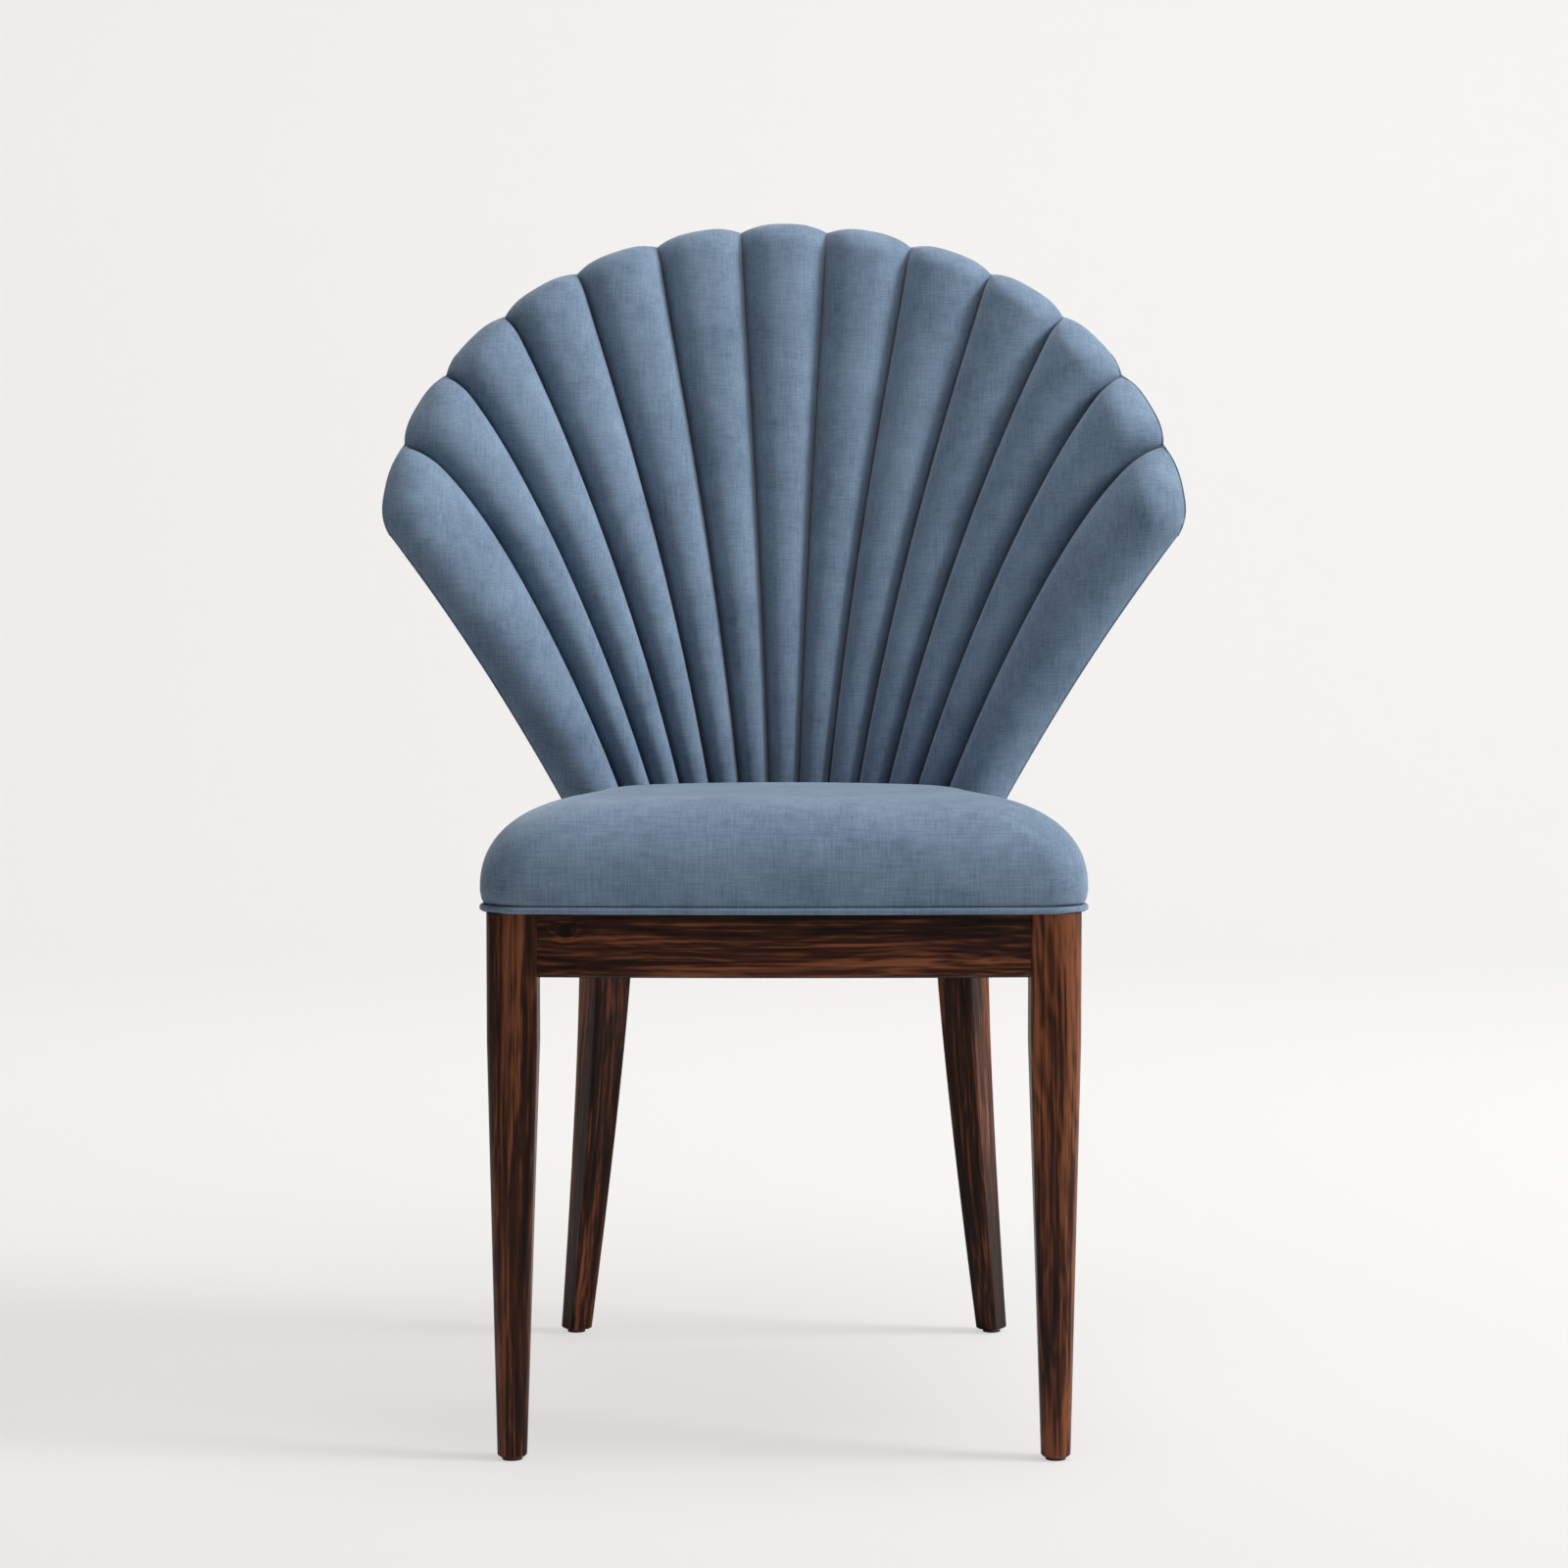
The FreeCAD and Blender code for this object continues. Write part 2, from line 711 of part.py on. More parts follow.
def inner_line():
    """Start point and direction of the right side rail's inner face, in plan."""
    start, along = side_line()
    inner = start + Vec(-along.y, along.x, 0) * rail_thickness
    return inner - along * ((inner.y - start.y) / along.y), along


def at_flank(start, along):
    """Where a plan line meets the rear leg's outer flank."""
    face = radial(rear_leg_angle)
    across = Vec(face.y, -face.x, 0)
    flank = polar(rear_leg_radius, rear_leg_angle, 0) + across * (rear_leg_size / 2)
    return start + along * ((flank - start).dot(across) / along.dot(across))


def level(point, height):
    return Vec(point.x, point.y, height)


def front_block_corners():
    """Plan corners of the right front corner block: on the front rail, in the angle, on
    the side rail."""
    rear_face = rail_reveal + rail_thickness
    inner, along = inner_line()
    on_front = Vec(frame_half_width - front_leg_size - block_leg, rear_face, 0)
    angle = inner - along * ((inner.y - rear_face) / along.y)
    return on_front, angle, inner + along * block_leg


def front_block():
    on_front, angle, on_side = front_block_corners()
    points = [(p.x, p.y) for p in (on_front, angle, on_side)]
    block = prism(points, rail_bottom + block_inset, frame_top - block_inset)
    middle = frame_half_width - front_leg_size / 2
    leg = square_prism(middle, front_leg_size / 2, 0, front_leg_size, 0, frame_top)
    return block.cut(leg)


def rear_block_corners():
    """Plan corners of the right rear corner block: on the side rail, at the rear leg's
    front face and on the rear rail."""
    inner, along = inner_line()
    at_leg = at_flank(inner, along)
    leg_edge = rear_leg_angle - math.degrees(rear_leg_size / 2 / rear_leg_radius)
    end_angle = leg_edge - math.degrees(rear_block_leg / back_base_radius)
    rear_inner = back_base_radius - rear_rail_thickness
    leg_front = polar(rear_leg_radius - rear_leg_size / 2, rear_leg_angle, 0)
    return at_leg - along * rear_block_leg, leg_front, polar(rear_inner, end_angle, 0), end_angle


def rear_block():
    on_side, leg_front, on_rear, end_angle = rear_block_corners()
    inner, along = inner_line()
    outward = Vec(along.y, -along.x, 0)
    sink = rail_thickness / 4
    at_leg = at_flank(inner, along)
    points = [on_side, on_side + outward * sink, at_leg + outward * sink + along * sink,
              polar(rear_leg_radius, rear_leg_angle, 0),
              on_rear + radial(end_angle) * sink, on_rear]
    block = prism([(p.x, p.y) for p in points], rail_bottom + block_inset,
                  frame_top - block_inset)
    hub = polar(rear_leg_radius, rear_leg_angle, 0)
    leg = square_prism(hub.x, hub.y, rear_leg_angle, rear_leg_size, 0, frame_top)
    return block.cut([leg, side_rail(), rear_rail()])


def block_screw_places():
    """Right side's corner block screws: entry point on the rail, direction, is it front."""
    height = bolt_level()
    on_front, angle, on_side = front_block_corners()
    inner, along = inner_line()
    outward = Vec(along.y, -along.x, 0)
    half = frame_half_width - front_leg_size
    on_side_rear, leg_front, on_rear, end_angle = rear_block_corners()
    leg_edge = rear_leg_angle - math.degrees(rear_leg_size / 2 / rear_leg_radius)
    middle_angle = (end_angle + leg_edge) / 2
    rear_inner = back_base_radius - rear_rail_thickness
    return [(Vec(half - block_screw_share_front * block_leg, on_front.y, height), Vec(0, -1, 0), True),
            (level(inner + along * (block_screw_share_side * block_leg), height), outward, True),
            (level(on_side_rear + along * (rear_block_leg / 2), height), outward, False),
            (polar(rear_inner, middle_angle, height), radial(middle_angle), False)]


def block_screw(point, into):
    seat = point - into * block_screw_cover
    shank = cylinder(seat, into, block_screw_diameter, block_screw_cover + block_screw_bite)
    head = cylinder(seat - into * screw_head_height, into, block_screw_head, screw_head_height)
    return shank.fuse(head)


def block_screw_tools(point, into):
    """Holes for one screw: clearance and counterbore in the block, pilot in the rail."""
    seat = point - into * block_screw_cover
    clearance = cylinder(seat, into, block_screw_diameter + bolt_clearance, block_screw_cover)
    sink = cylinder(seat - into * block_leg, into, block_screw_head + bolt_clearance, block_leg)
    pilot = cylinder(point - into, into, block_screw_diameter, block_screw_bite + 1)
    return [clearance, sink], pilot


def seat_bolt_places():
    """Plan places of the right side's bolts up into the seat board."""
    front = front_block_corners()
    rear = rear_block_corners()[:3]
    return [(front[0] + front[1] + front[2]) * (1.0 / 3), (rear[0] + rear[1] + rear[2]) * (1.0 / 3)]


def seat_bolt(place):
    seat = level(place, rail_bottom + block_inset)
    length = board_top - tee_nut_flange_thickness - seat.z
    head = cylinder(seat - UP * (block_inset - fit_gap), UP, bolt_head_diameter,
                    block_inset - fit_gap)
    return cylinder(seat, UP, bolt_diameter, length).fuse(head)


def tee_nut(start, into):
    """Tee nut with its flange's outer face at start and its barrel pointing along into."""
    flange = cylinder(start, into, tee_nut_flange, tee_nut_flange_thickness)
    barrel = cylinder(start, into, tee_nut_barrel, tee_nut_length)
    bore = cylinder(start - into, into, bolt_diameter, tee_nut_length + 2)
    return flange.fuse(barrel).cut(bore)


def back_bolt(angle):
    seat = polar(bolt_seat() - washer_thickness, angle, bolt_level())
    out = radial(angle)
    tip = back_base_radius + shell_thickness - tee_nut_flange_thickness
    length = tip - (bolt_seat() - washer_thickness)
    head = cylinder(seat - out * bolt_head_height, out, bolt_head_diameter, bolt_head_height)
    return cylinder(seat, out, bolt_diameter, length).fuse(head)


def back_washer(angle):
    start = polar(bolt_seat() - washer_thickness, angle, bolt_level())
    ring = cylinder(start, radial(angle), washer_diameter, washer_thickness)
    return ring.cut(cylinder(start, radial(angle), bolt_diameter + bolt_clearance,
                             washer_thickness))


def back_bolt_tool(angle):
    """Clearance hole and spot face for a back bolt in the rear rail or a rear leg."""
    out = radial(angle)
    inner = polar(back_base_radius / 2, angle, bolt_level())
    hole = cylinder(inner, out, bolt_diameter + bolt_clearance, back_base_radius)
    spot = cylinder(inner, out, spot_face_diameter, bolt_seat() - back_base_radius / 2)
    return hole.fuse(spot)


def back_tee_nut(angle):
    outside = polar(back_base_radius + shell_thickness, angle, bolt_level())
    return tee_nut(outside, radial(angle) * -1.0)


def rail_dowels():
    """Right side's dowels with the nodes that each one joins."""
    inner, along = inner_line()
    start = side_line()[0]
    middle = (start + inner) * 0.5
    flank = at_flank(middle, along)
    face = radial(rear_leg_angle)
    across = Vec(face.y, -face.x, 0)
    rear_mid = polar(back_base_radius - rear_rail_thickness / 2, rear_leg_angle, 0)
    rear_mid = rear_mid - across * (rear_leg_size / 2)
    rail_mid = rail_reveal + rail_thickness / 2
    joints = [(Vec(frame_half_width - front_leg_size, rail_mid, 0), Vec(1, 0, 0), dowel_depth,
               dowel_depth_leg, ("front_rail", "front_leg")),
              (middle, along, dowel_depth_leg, dowel_depth, ("front_leg", "side_rail")),
              (flank, along, dowel_depth, dowel_depth_rear_leg, ("side_rail", "rear_leg")),
              (rear_mid, across, dowel_depth, dowel_depth_rear_leg, ("rear_rail", "rear_leg"))]
    dowels = []
    for point, direction, before, beyond, names in joints:
        for height in (rail_bottom + dowel_edge_distance, frame_top - dowel_edge_distance):
            begin = level(point - direction * before, height)
            dowels.append((cylinder(begin, direction, dowel_diameter, before + beyond), names))
    return dowels


def glide(foot):
    disc = cylinder(Vec(foot.x, foot.y, 0), UP, glide_diameter, glide_thickness)
    return disc.fuse(cylinder(Vec(foot.x, foot.y, 0), UP, glide_nail_diameter,
                              glide_thickness + glide_nail_length))


def both_sides(shapes):
    return shapes + [mirrored(shape) for shape in shapes]


def wooden_frame():
    """Legs, rails and corner blocks of the right side and the two cross rails, drilled."""
    wood = {"front_leg": front_leg(), "rear_leg": rear_leg(), "side_rail": side_rail(),
            "front_rail": front_rail(), "rear_rail": rear_rail(),
            "front_block": front_block(), "rear_block": rear_block()}
    tools = {name: [] for name in wood}
    for dowel, names in rail_dowels():
        for name in names:
            tools[name].append(dowel)
    rails = ("front_rail", "side_rail", "side_rail", "rear_rail")
    for (point, into, in_front), rail in zip(block_screw_places(), rails):
        in_block, in_rail = block_screw_tools(point, into)
        tools["front_block" if in_front else "rear_block"].extend(in_block)
        tools[rail].append(in_rail)
    for place, block in zip(seat_bolt_places(), ("front_block", "rear_block")):
        hole = cylinder(level(place, rail_bottom), UP, bolt_diameter + bolt_clearance, rail_height)
        tools[block].append(hole)
    for angle in back_bolt_angles:
        tools["rear_rail"].append(back_bolt_tool(angle))
    tools["rear_leg"].append(back_bolt_tool(rear_leg_angle))
    for name, foot in (("front_leg", front_foot()), ("rear_leg", rear_foot())):
        tools[name].append(cylinder(foot, UP, glide_nail_diameter,
                                    glide_thickness + glide_nail_length))
    for name in wood:
        cutters = tools[name]
        if name in ("front_rail", "rear_rail"):
            cutters = both_sides(cutters)
        wood[name] = wood[name].cut(cutters)
    return wood


def front_foot():
    return Vec(front_foot_centre, front_foot_setback, 0)


def rear_foot():
    return level(rear_leg_axis(glide_thickness), 0)


def drilled_seat_board():
    board = seat_board(0)
    for place in both_plan_sides(seat_bolt_places()):
        low = level(place, frame_top - 1)
        recess = level(place, board_top - tee_nut_flange_thickness)
        board = board.cut([cylinder(low, UP, tee_nut_barrel, seat_board_thickness + 2),
                           cylinder(recess, UP, tee_nut_flange + bolt_clearance,
                                    2 * tee_nut_flange_thickness)])
    return board


def both_plan_sides(places):
    return places + [Vec(-p.x, p.y, p.z) for p in places]


def build_chair():
    parts = {}
    wood = wooden_frame()
    sides = (("left", mirrored), ("right", lambda shape: shape))
    for side, place in sides:
        parts["front_leg_" + side] = place(wood["front_leg"])
        parts["rear_leg_" + side] = place(wood["rear_leg"])
        parts["side_rail_" + side] = place(wood["side_rail"])
        parts["corner_block_front_" + side] = place(wood["front_block"])
        parts["corner_block_rear_" + side] = place(wood["rear_block"])
        parts["glide_front_" + side] = place(glide(front_foot()))
        parts["glide_rear_" + side] = place(glide(rear_foot()))
    parts["front_rail"] = wood["front_rail"]
    parts["rear_rail"] = wood["rear_rail"]

    groups = {
        "rail_dowels": both_sides([dowel for dowel, names in rail_dowels()]),
        "corner_block_screws": both_sides([block_screw(point, into)
                                           for point, into, front in block_screw_places()]),
        "seat_bolts": both_sides([seat_bolt(place) for place in seat_bolt_places()]),
        "seat_tee_nuts": [tee_nut(level(place, board_top), UP * -1.0)
                          for place in both_plan_sides(seat_bolt_places())],
        "back_bolts": [back_bolt(angle) for angle in bolt_places()],
        "back_washers": [back_washer(angle) for angle in bolt_places()],
        "back_tee_nuts": [back_tee_nut(angle) for angle in bolt_places()],
    }
    for name, solids in groups.items():
        parts[name] = Part.makeCompound(solids)

    parts["seat_board"] = drilled_seat_board()
    parts["seat_foam"] = seat_foam()
    parts["seat_cover"] = seat_cover()
    parts["seat_piping"] = seat_piping()
    parts["dust_cover"] = dust_cover()

    parts["back_shell"] = back_shell()
    parts["outside_back"] = outside_back()
    parts["edge_welt"] = edge_welt()
    middle = channel_count // 2
    for index in range(channel_count):
        number = index - middle
        label = "%02d" % (index + 1)
        outer = channel_pad(abs(number), 0)
        cover = outer.cut(channel_pad(abs(number), fabric_thickness))
        foam = channel_pad(abs(number), fabric_thickness + fit_gap)
        if number < 0:
            cover = mirrored(cover)
            foam = mirrored(foam)
        parts["channel_cover_" + label] = cover
        parts["channel_foam_" + label] = foam
    return parts


def footprint_middle(parts):
    boxes = [shape.optimalBoundingBox(False) for shape in parts.values()]
    return (min(box.YMin for box in boxes) + max(box.YMax for box in boxes)) / 2


def main():
    os.makedirs("parts", exist_ok=True)
    parts = build_chair()
    back = Vec(0, -footprint_middle(parts), 0)
    for name, shape in parts.items():
        shape.translate(back)
        shape.exportStep("parts/" + name + ".step")
    print("pieces", len(parts), "moved along Y by", round(back.y, 3))
    for name, foot in (("front", front_foot()), ("rear", rear_foot())):
        print(name, "glide at", [round(v, 3) for v in (foot + back)])


main()
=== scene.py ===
import math
import bmesh
import bpy
from mathutils import Matrix, Vector


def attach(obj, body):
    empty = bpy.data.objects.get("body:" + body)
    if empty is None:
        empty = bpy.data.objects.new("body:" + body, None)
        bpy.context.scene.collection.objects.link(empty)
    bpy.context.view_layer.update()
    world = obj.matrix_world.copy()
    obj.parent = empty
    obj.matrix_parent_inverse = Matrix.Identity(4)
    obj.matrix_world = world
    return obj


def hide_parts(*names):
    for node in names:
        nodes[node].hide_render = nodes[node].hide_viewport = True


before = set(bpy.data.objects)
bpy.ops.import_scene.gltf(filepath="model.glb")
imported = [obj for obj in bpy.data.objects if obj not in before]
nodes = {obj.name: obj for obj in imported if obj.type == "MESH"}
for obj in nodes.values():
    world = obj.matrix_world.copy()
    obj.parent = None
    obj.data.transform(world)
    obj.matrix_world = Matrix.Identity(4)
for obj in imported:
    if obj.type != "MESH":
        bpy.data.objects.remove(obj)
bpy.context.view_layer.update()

print("frame loaded:", len(nodes), "nodes")


# camera, floor and light

cameraView = {
    "lens": 90.0,
    "sensor": 36.0,
    "place": (0.0, -3.133894, 0.681288),
    "tilt": 86.3815,            # degrees from straight down
    "farthest": 50.0,
}

studio = {
    "paper": (0.865, 0.860, 0.842, 1.0),
    "paperGrain": (0.855, 0.853, 0.835, 1.0),
    "seenLow": (0.632, 0.622, 0.606, 1.0),
    "seenHigh": (0.822, 0.811, 0.794, 1.0),
    "seenStrength": 1.2,
    "seenShare": 0.70,          # how much of the paper's look is its own light
    "seenScale": (0.7, 1.0, 0.0),
    "seenShift": (0.0, 0.9, 0.0),
    "seenReach": 3.3,           # from this distance outwards the paper has the high tone
    "floorFront": -16.0,
    "floorBack": 3.2,
    "halfWidth": 14.0,
    "curve": 1.4,               # radius between floor and wall
    "curveSteps": 24,
    "wall": 6.0,
    "world": (0.896, 0.896, 0.885, 1.0),
    "worldLight": 0.16,
    "key": {"place": (4.45, -0.95, 3.1), "aim": (0.0, 0.0, 0.55), "size": 2.0, "power": 285.0},
    "fill": {"place": (-2.8, -2.2, 1.5), "aim": (0.0, 0.0, 0.5), "size": 2.2, "power": 4.0},
    "top": {"place": (0.6, -0.25, 3.3), "aim": (0.0, 0.0, 0.5), "size": 2.6, "power": 70.0},
}


def makeCamera():
    data = bpy.data.cameras.new("photoCamera")
    data.lens = cameraView["lens"]
    data.sensor_width = cameraView["sensor"]
    data.clip_end = cameraView["farthest"]
    camera = bpy.data.objects.new("photoCamera", data)
    camera.location = cameraView["place"]
    camera.rotation_euler = (math.radians(cameraView["tilt"]), 0.0, 0.0)
    bpy.context.scene.collection.objects.link(camera)
    bpy.context.scene.camera = camera


def makeLamp(name, spec):
    data = bpy.data.lights.new(name, "AREA")
    data.shape = "DISK"
    data.size = spec["size"]
    data.energy = spec["power"]
    lamp = bpy.data.objects.new(name, data)
    lamp.location = spec["place"]
    away = Vector(spec["place"]) - Vector(spec["aim"])
    lamp.rotation_mode = "QUATERNION"
    lamp.rotation_quaternion = away.to_track_quat("Z", "Y")
    bpy.context.scene.collection.objects.link(lamp)


class Wire:
    # one output of a material's nodes; sums on it add Math nodes

    def __init__(self, tree, socket=None):
        self.tree = tree
        self.socket = socket

    def add(self, kind, settings=None, sockets=None, out=0):
        made = self.tree.nodes.new(kind)
        for name, value in (settings or {}).items():
            if name == "stops":
                ramp = made.color_ramp
                while len(ramp.elements) < len(value):
                    ramp.elements.new(1.0)
                for stop, (place, colour) in zip(ramp.elements, value):
                    stop.position = place
                    stop.color = colour
            else:
                setattr(made, name, value)
        for name, value in (sockets or {}).items():
            if isinstance(value, Wire):
                self.tree.links.new(value.socket, made.inputs[name])
            else:
                made.inputs[name].default_value = value
        return Wire(self.tree, made.outputs[out] if made.outputs else None)

    def sum(self, operation, a, b):
        return self.add("ShaderNodeMath", {"operation": operation}, {0: a, 1: b})

    def __add__(self, other):
        return self.sum("ADD", self, other)

    def __radd__(self, other):
        return self.sum("ADD", other, self)

    def __sub__(self, other):
        return self.sum("SUBTRACT", self, other)

    def __rsub__(self, other):
        return self.sum("SUBTRACT", other, self)

    def __mul__(self, other):
        return self.sum("MULTIPLY", self, other)

    def __rmul__(self, other):
        return self.sum("MULTIPLY", other, self)

    def __truediv__(self, other):
        return self.sum("DIVIDE", self, other)

    def clamp(self, low=0.0, high=1.0, toLow=0.0, toHigh=1.0):
        return self.add("ShaderNodeMapRange", {"interpolation_type": "SMOOTHSTEP"},
                        {0: self, 1: low, 2: high, 3: toLow, 4: toHigh})

    def colours(self, factor, a, b):
        return self.add("ShaderNodeMix", {"data_type": "RGBA"}, {0: factor, 6: a, 7: b}, out=2)

    def mapped(self, scale, turn=(0.0, 0.0, 0.0), shift=(0.0, 0.0, 0.0)):
        return self.add("ShaderNodeMapping", {}, {0: self, 1: shift, 2: turn, 3: scale})

    def noise(self, scale=1.0, detail=2.0, rough=0.5, distortion=0.0):
        return self.add("ShaderNodeTexNoise", {"noise_dimensions": "3D"},
                        {"Vector": self, "Scale": scale, "Detail": detail, "Roughness": rough,
                         "Distortion": distortion})


def newMaterial(name):
    material = bpy.data.materials.new(name)
    material.use_nodes = True
    tree = material.node_tree
    tree.nodes.clear()
    return material, Wire(tree)


def finishMaterial(wire, shader):
    wire.add("ShaderNodeOutputMaterial", {}, {"Surface": shader})


def objectPlace(wire):
    return wire.add("ShaderNodeTexCoord", out=3)


def bumpFrom(wire, height, strength, distance):
    return wire.add("ShaderNodeBump", {}, {
        "Strength": strength, "Distance": distance, "Height": height})


def paperMaterial():
    material, wire = newMaterial("studioPaper")
    grain = objectPlace(wire).noise(3.0, 3.0)
    tone = wire.colours(grain, studio["paperGrain"], studio["paper"])
    matt = wire.add("ShaderNodeBsdfDiffuse", {}, {"Color": tone})
    aside = objectPlace(wire).mapped(studio["seenScale"], shift=studio["seenShift"])
    away = wire.add("ShaderNodeVectorMath", {"operation": "LENGTH"}, {0: aside}, out=1)
    glowTone = wire.colours(away.clamp(0.0, studio["seenReach"]), studio["seenLow"], studio["seenHigh"])
    glow = wire.add("ShaderNodeEmission", {}, {"Color": glowTone, "Strength": studio["seenStrength"]})
    seen = wire.add("ShaderNodeLightPath", out=0)
    mixed = wire.add("ShaderNodeMixShader", {}, {0: seen * studio["seenShare"], 1: matt, 2: glow})
    finishMaterial(wire, mixed)
    return material


def makeStudio():
    bpy.context.scene.view_settings.view_transform = "Standard"
    makeCamera()
    for name in ("key", "fill", "top"):
        makeLamp(name + "Lamp", studio[name])
    world = bpy.data.worlds.new("studioWorld")
    bpy.context.scene.world = world
    world.use_nodes = True
    wire = Wire(world.node_tree)
    world.node_tree.nodes.clear()
    seen = wire.add("ShaderNodeLightPath", out=0)
    strength = seen * (1.0 - studio["worldLight"]) + studio["worldLight"]
    light = wire.add("ShaderNodeBackground", {}, {"Color": studio["world"], "Strength": strength})
    wire.add("ShaderNodeOutputWorld", {}, {"Surface": light})

    shape = bmesh.new()
    side = studio["halfWidth"]
    corners = [shape.verts.new((x, studio["floorFront"], 0.0)) for x in (-side, side)]
    edge = shape.edges.new(corners)
    run = bmesh.ops.extrude_edge_only(shape, edges=[edge])
    moved = [g for g in run["geom"] if isinstance(g, bmesh.types.BMVert)]
    last = [g for g in run["geom"] if isinstance(g, bmesh.types.BMEdge)]
    bmesh.ops.translate(shape, verts=moved, vec=(0.0, studio["floorBack"] - studio["floorFront"], 0.0))
    bend = bmesh.ops.spin(shape, geom=last, cent=(0.0, studio["floorBack"], studio["curve"]),
                          axis=(1.0, 0.0, 0.0), angle=math.radians(90.0), steps=studio["curveSteps"],
                          use_merge=False)
    last = [g for g in bend["geom_last"] if isinstance(g, bmesh.types.BMEdge)]
    run = bmesh.ops.extrude_edge_only(shape, edges=last)
    moved = [g for g in run["geom"] if isinstance(g, bmesh.types.BMVert)]
    bmesh.ops.translate(shape, verts=moved, vec=(0.0, 0.0, studio["wall"]))
    for face in shape.faces:
        face.smooth = True
    bmesh.ops.recalc_face_normals(shape, faces=shape.faces)
    floor = meshObject("studioFloor", shape, paperMaterial())
    print("studio made")


def meshObject(name, shape, material, smoothAngle=None):
    mesh = bpy.data.meshes.new(name)
    shape.to_mesh(mesh)
    shape.free()
    mesh.materials.append(material)
    if smoothAngle is not None:
        mesh.polygons.foreach_set("use_smooth", [True] * len(mesh.polygons))
        mesh.set_sharp_from_angle(angle=math.radians(smoothAngle))
    made = bpy.data.objects.new(name, mesh)
    bpy.context.scene.collection.objects.link(made)
    return made


# cloth, wood and the other finishes

cloth = {
    "deep": (0.060, 0.098, 0.150, 1.0),
    "middle": (0.131, 0.185, 0.259, 1.0),
    "pale": (0.196, 0.275, 0.365, 1.0),
    "sheen": 0.35,
    "sheenTint": (0.78, 0.86, 0.95, 1.0),
    "clouds": (16.0, 4.0, 0.62, 0.4),       # scale, detail, roughness and distortion of the noise
    "mottle": (75.0, 3.0, 0.6, 0.0),
    "thread": (1400.0, 1.0, 0.5, 0.0),
    "weft": (55.0, 260.0, 900.0),           # stretched along the threads
    "warp": (950.0, 60.0, 60.0),
    "cloudShare": 0.42,
    "mottleShare": 0.25,
    "weaveShare": 0.75,
    "bumpStrength": 0.35,
    "bumpDepth": 0.0006,
}


def clothMaterial(name):
    material, wire = newMaterial(name)
    place = objectPlace(wire)
    clouds = place.noise(*cloth["clouds"])
    mottle = place.noise(*cloth["mottle"])
    thread = place.noise(*cloth["thread"])
    weft = place.mapped(cloth["weft"]).noise(1.0, 2.0, 0.6)
    warp = place.mapped(cloth["warp"]).noise(1.0, 2.0, 0.6)
    weave = (weft + warp) * 0.5
    tone = (clouds - 0.5) * cloth["cloudShare"] + (mottle - 0.5) * cloth["mottleShare"]
    tone = tone + (weave - 0.5) * cloth["weaveShare"] + 0.5
    ramp = wire.add("ShaderNodeValToRGB", {"stops": [(0.10, cloth["deep"]), (0.50, cloth["middle"]),
                                                     (0.92, cloth["pale"])]}, {0: tone.clamp()})
    height = weave * 0.8 + thread * 0.35
    bump = bumpFrom(wire, height, cloth["bumpStrength"], cloth["bumpDepth"])
    surface = wire.add("ShaderNodeBsdfPrincipled", {}, {
        "Base Color": ramp, "Roughness": 0.86, "Specular IOR Level": 0.18, "Sheen Weight": cloth["sheen"],
        "Sheen Roughness": 0.42, "Sheen Tint": cloth["sheenTint"], "Normal": bump})
    finishMaterial(wire, surface)
    return material


walnut = {
    "dark": (0.0070, 0.0030, 0.0022, 1.0),
    "middle": (0.037, 0.0108, 0.0050, 1.0),
    "red": (0.185, 0.060, 0.0260, 1.0),
    "bend": ((22.0, 22.0, 3.4), 4.0, 0.6, 0.0),     # stretch; then detail, roughness and distortion
    "broad": ((26.0, 26.0, 1.7), 3.0, 0.6, 0.6),
    "streak": ((150.0, 150.0, 3.2), 3.0, 0.65, 0.5),
    "fine": ((420.0, 420.0, 9.0), 2.0, 0.6, 0.0),
    "pores": ((900.0, 900.0, 26.0), 1.0, 0.5, 0.0),
    "poreFrom": 0.60,
    "poreTo": 0.72,
    "poreShare": 0.55,
    "broadShare": 1.3,
    "waveShare": 0.16,
    "streakShare": 1.2,
    "fineShare": 0.8,
    "ringStretch": (1.0, 1.0, 0.16),
    "ringsPerMetre": 150.0,
    "ringBend": 9.0,
    "knotReach": 2.6,           # in radii of the knot
    "knotTurn": 1.6,
    "knotDark": 0.6,
}


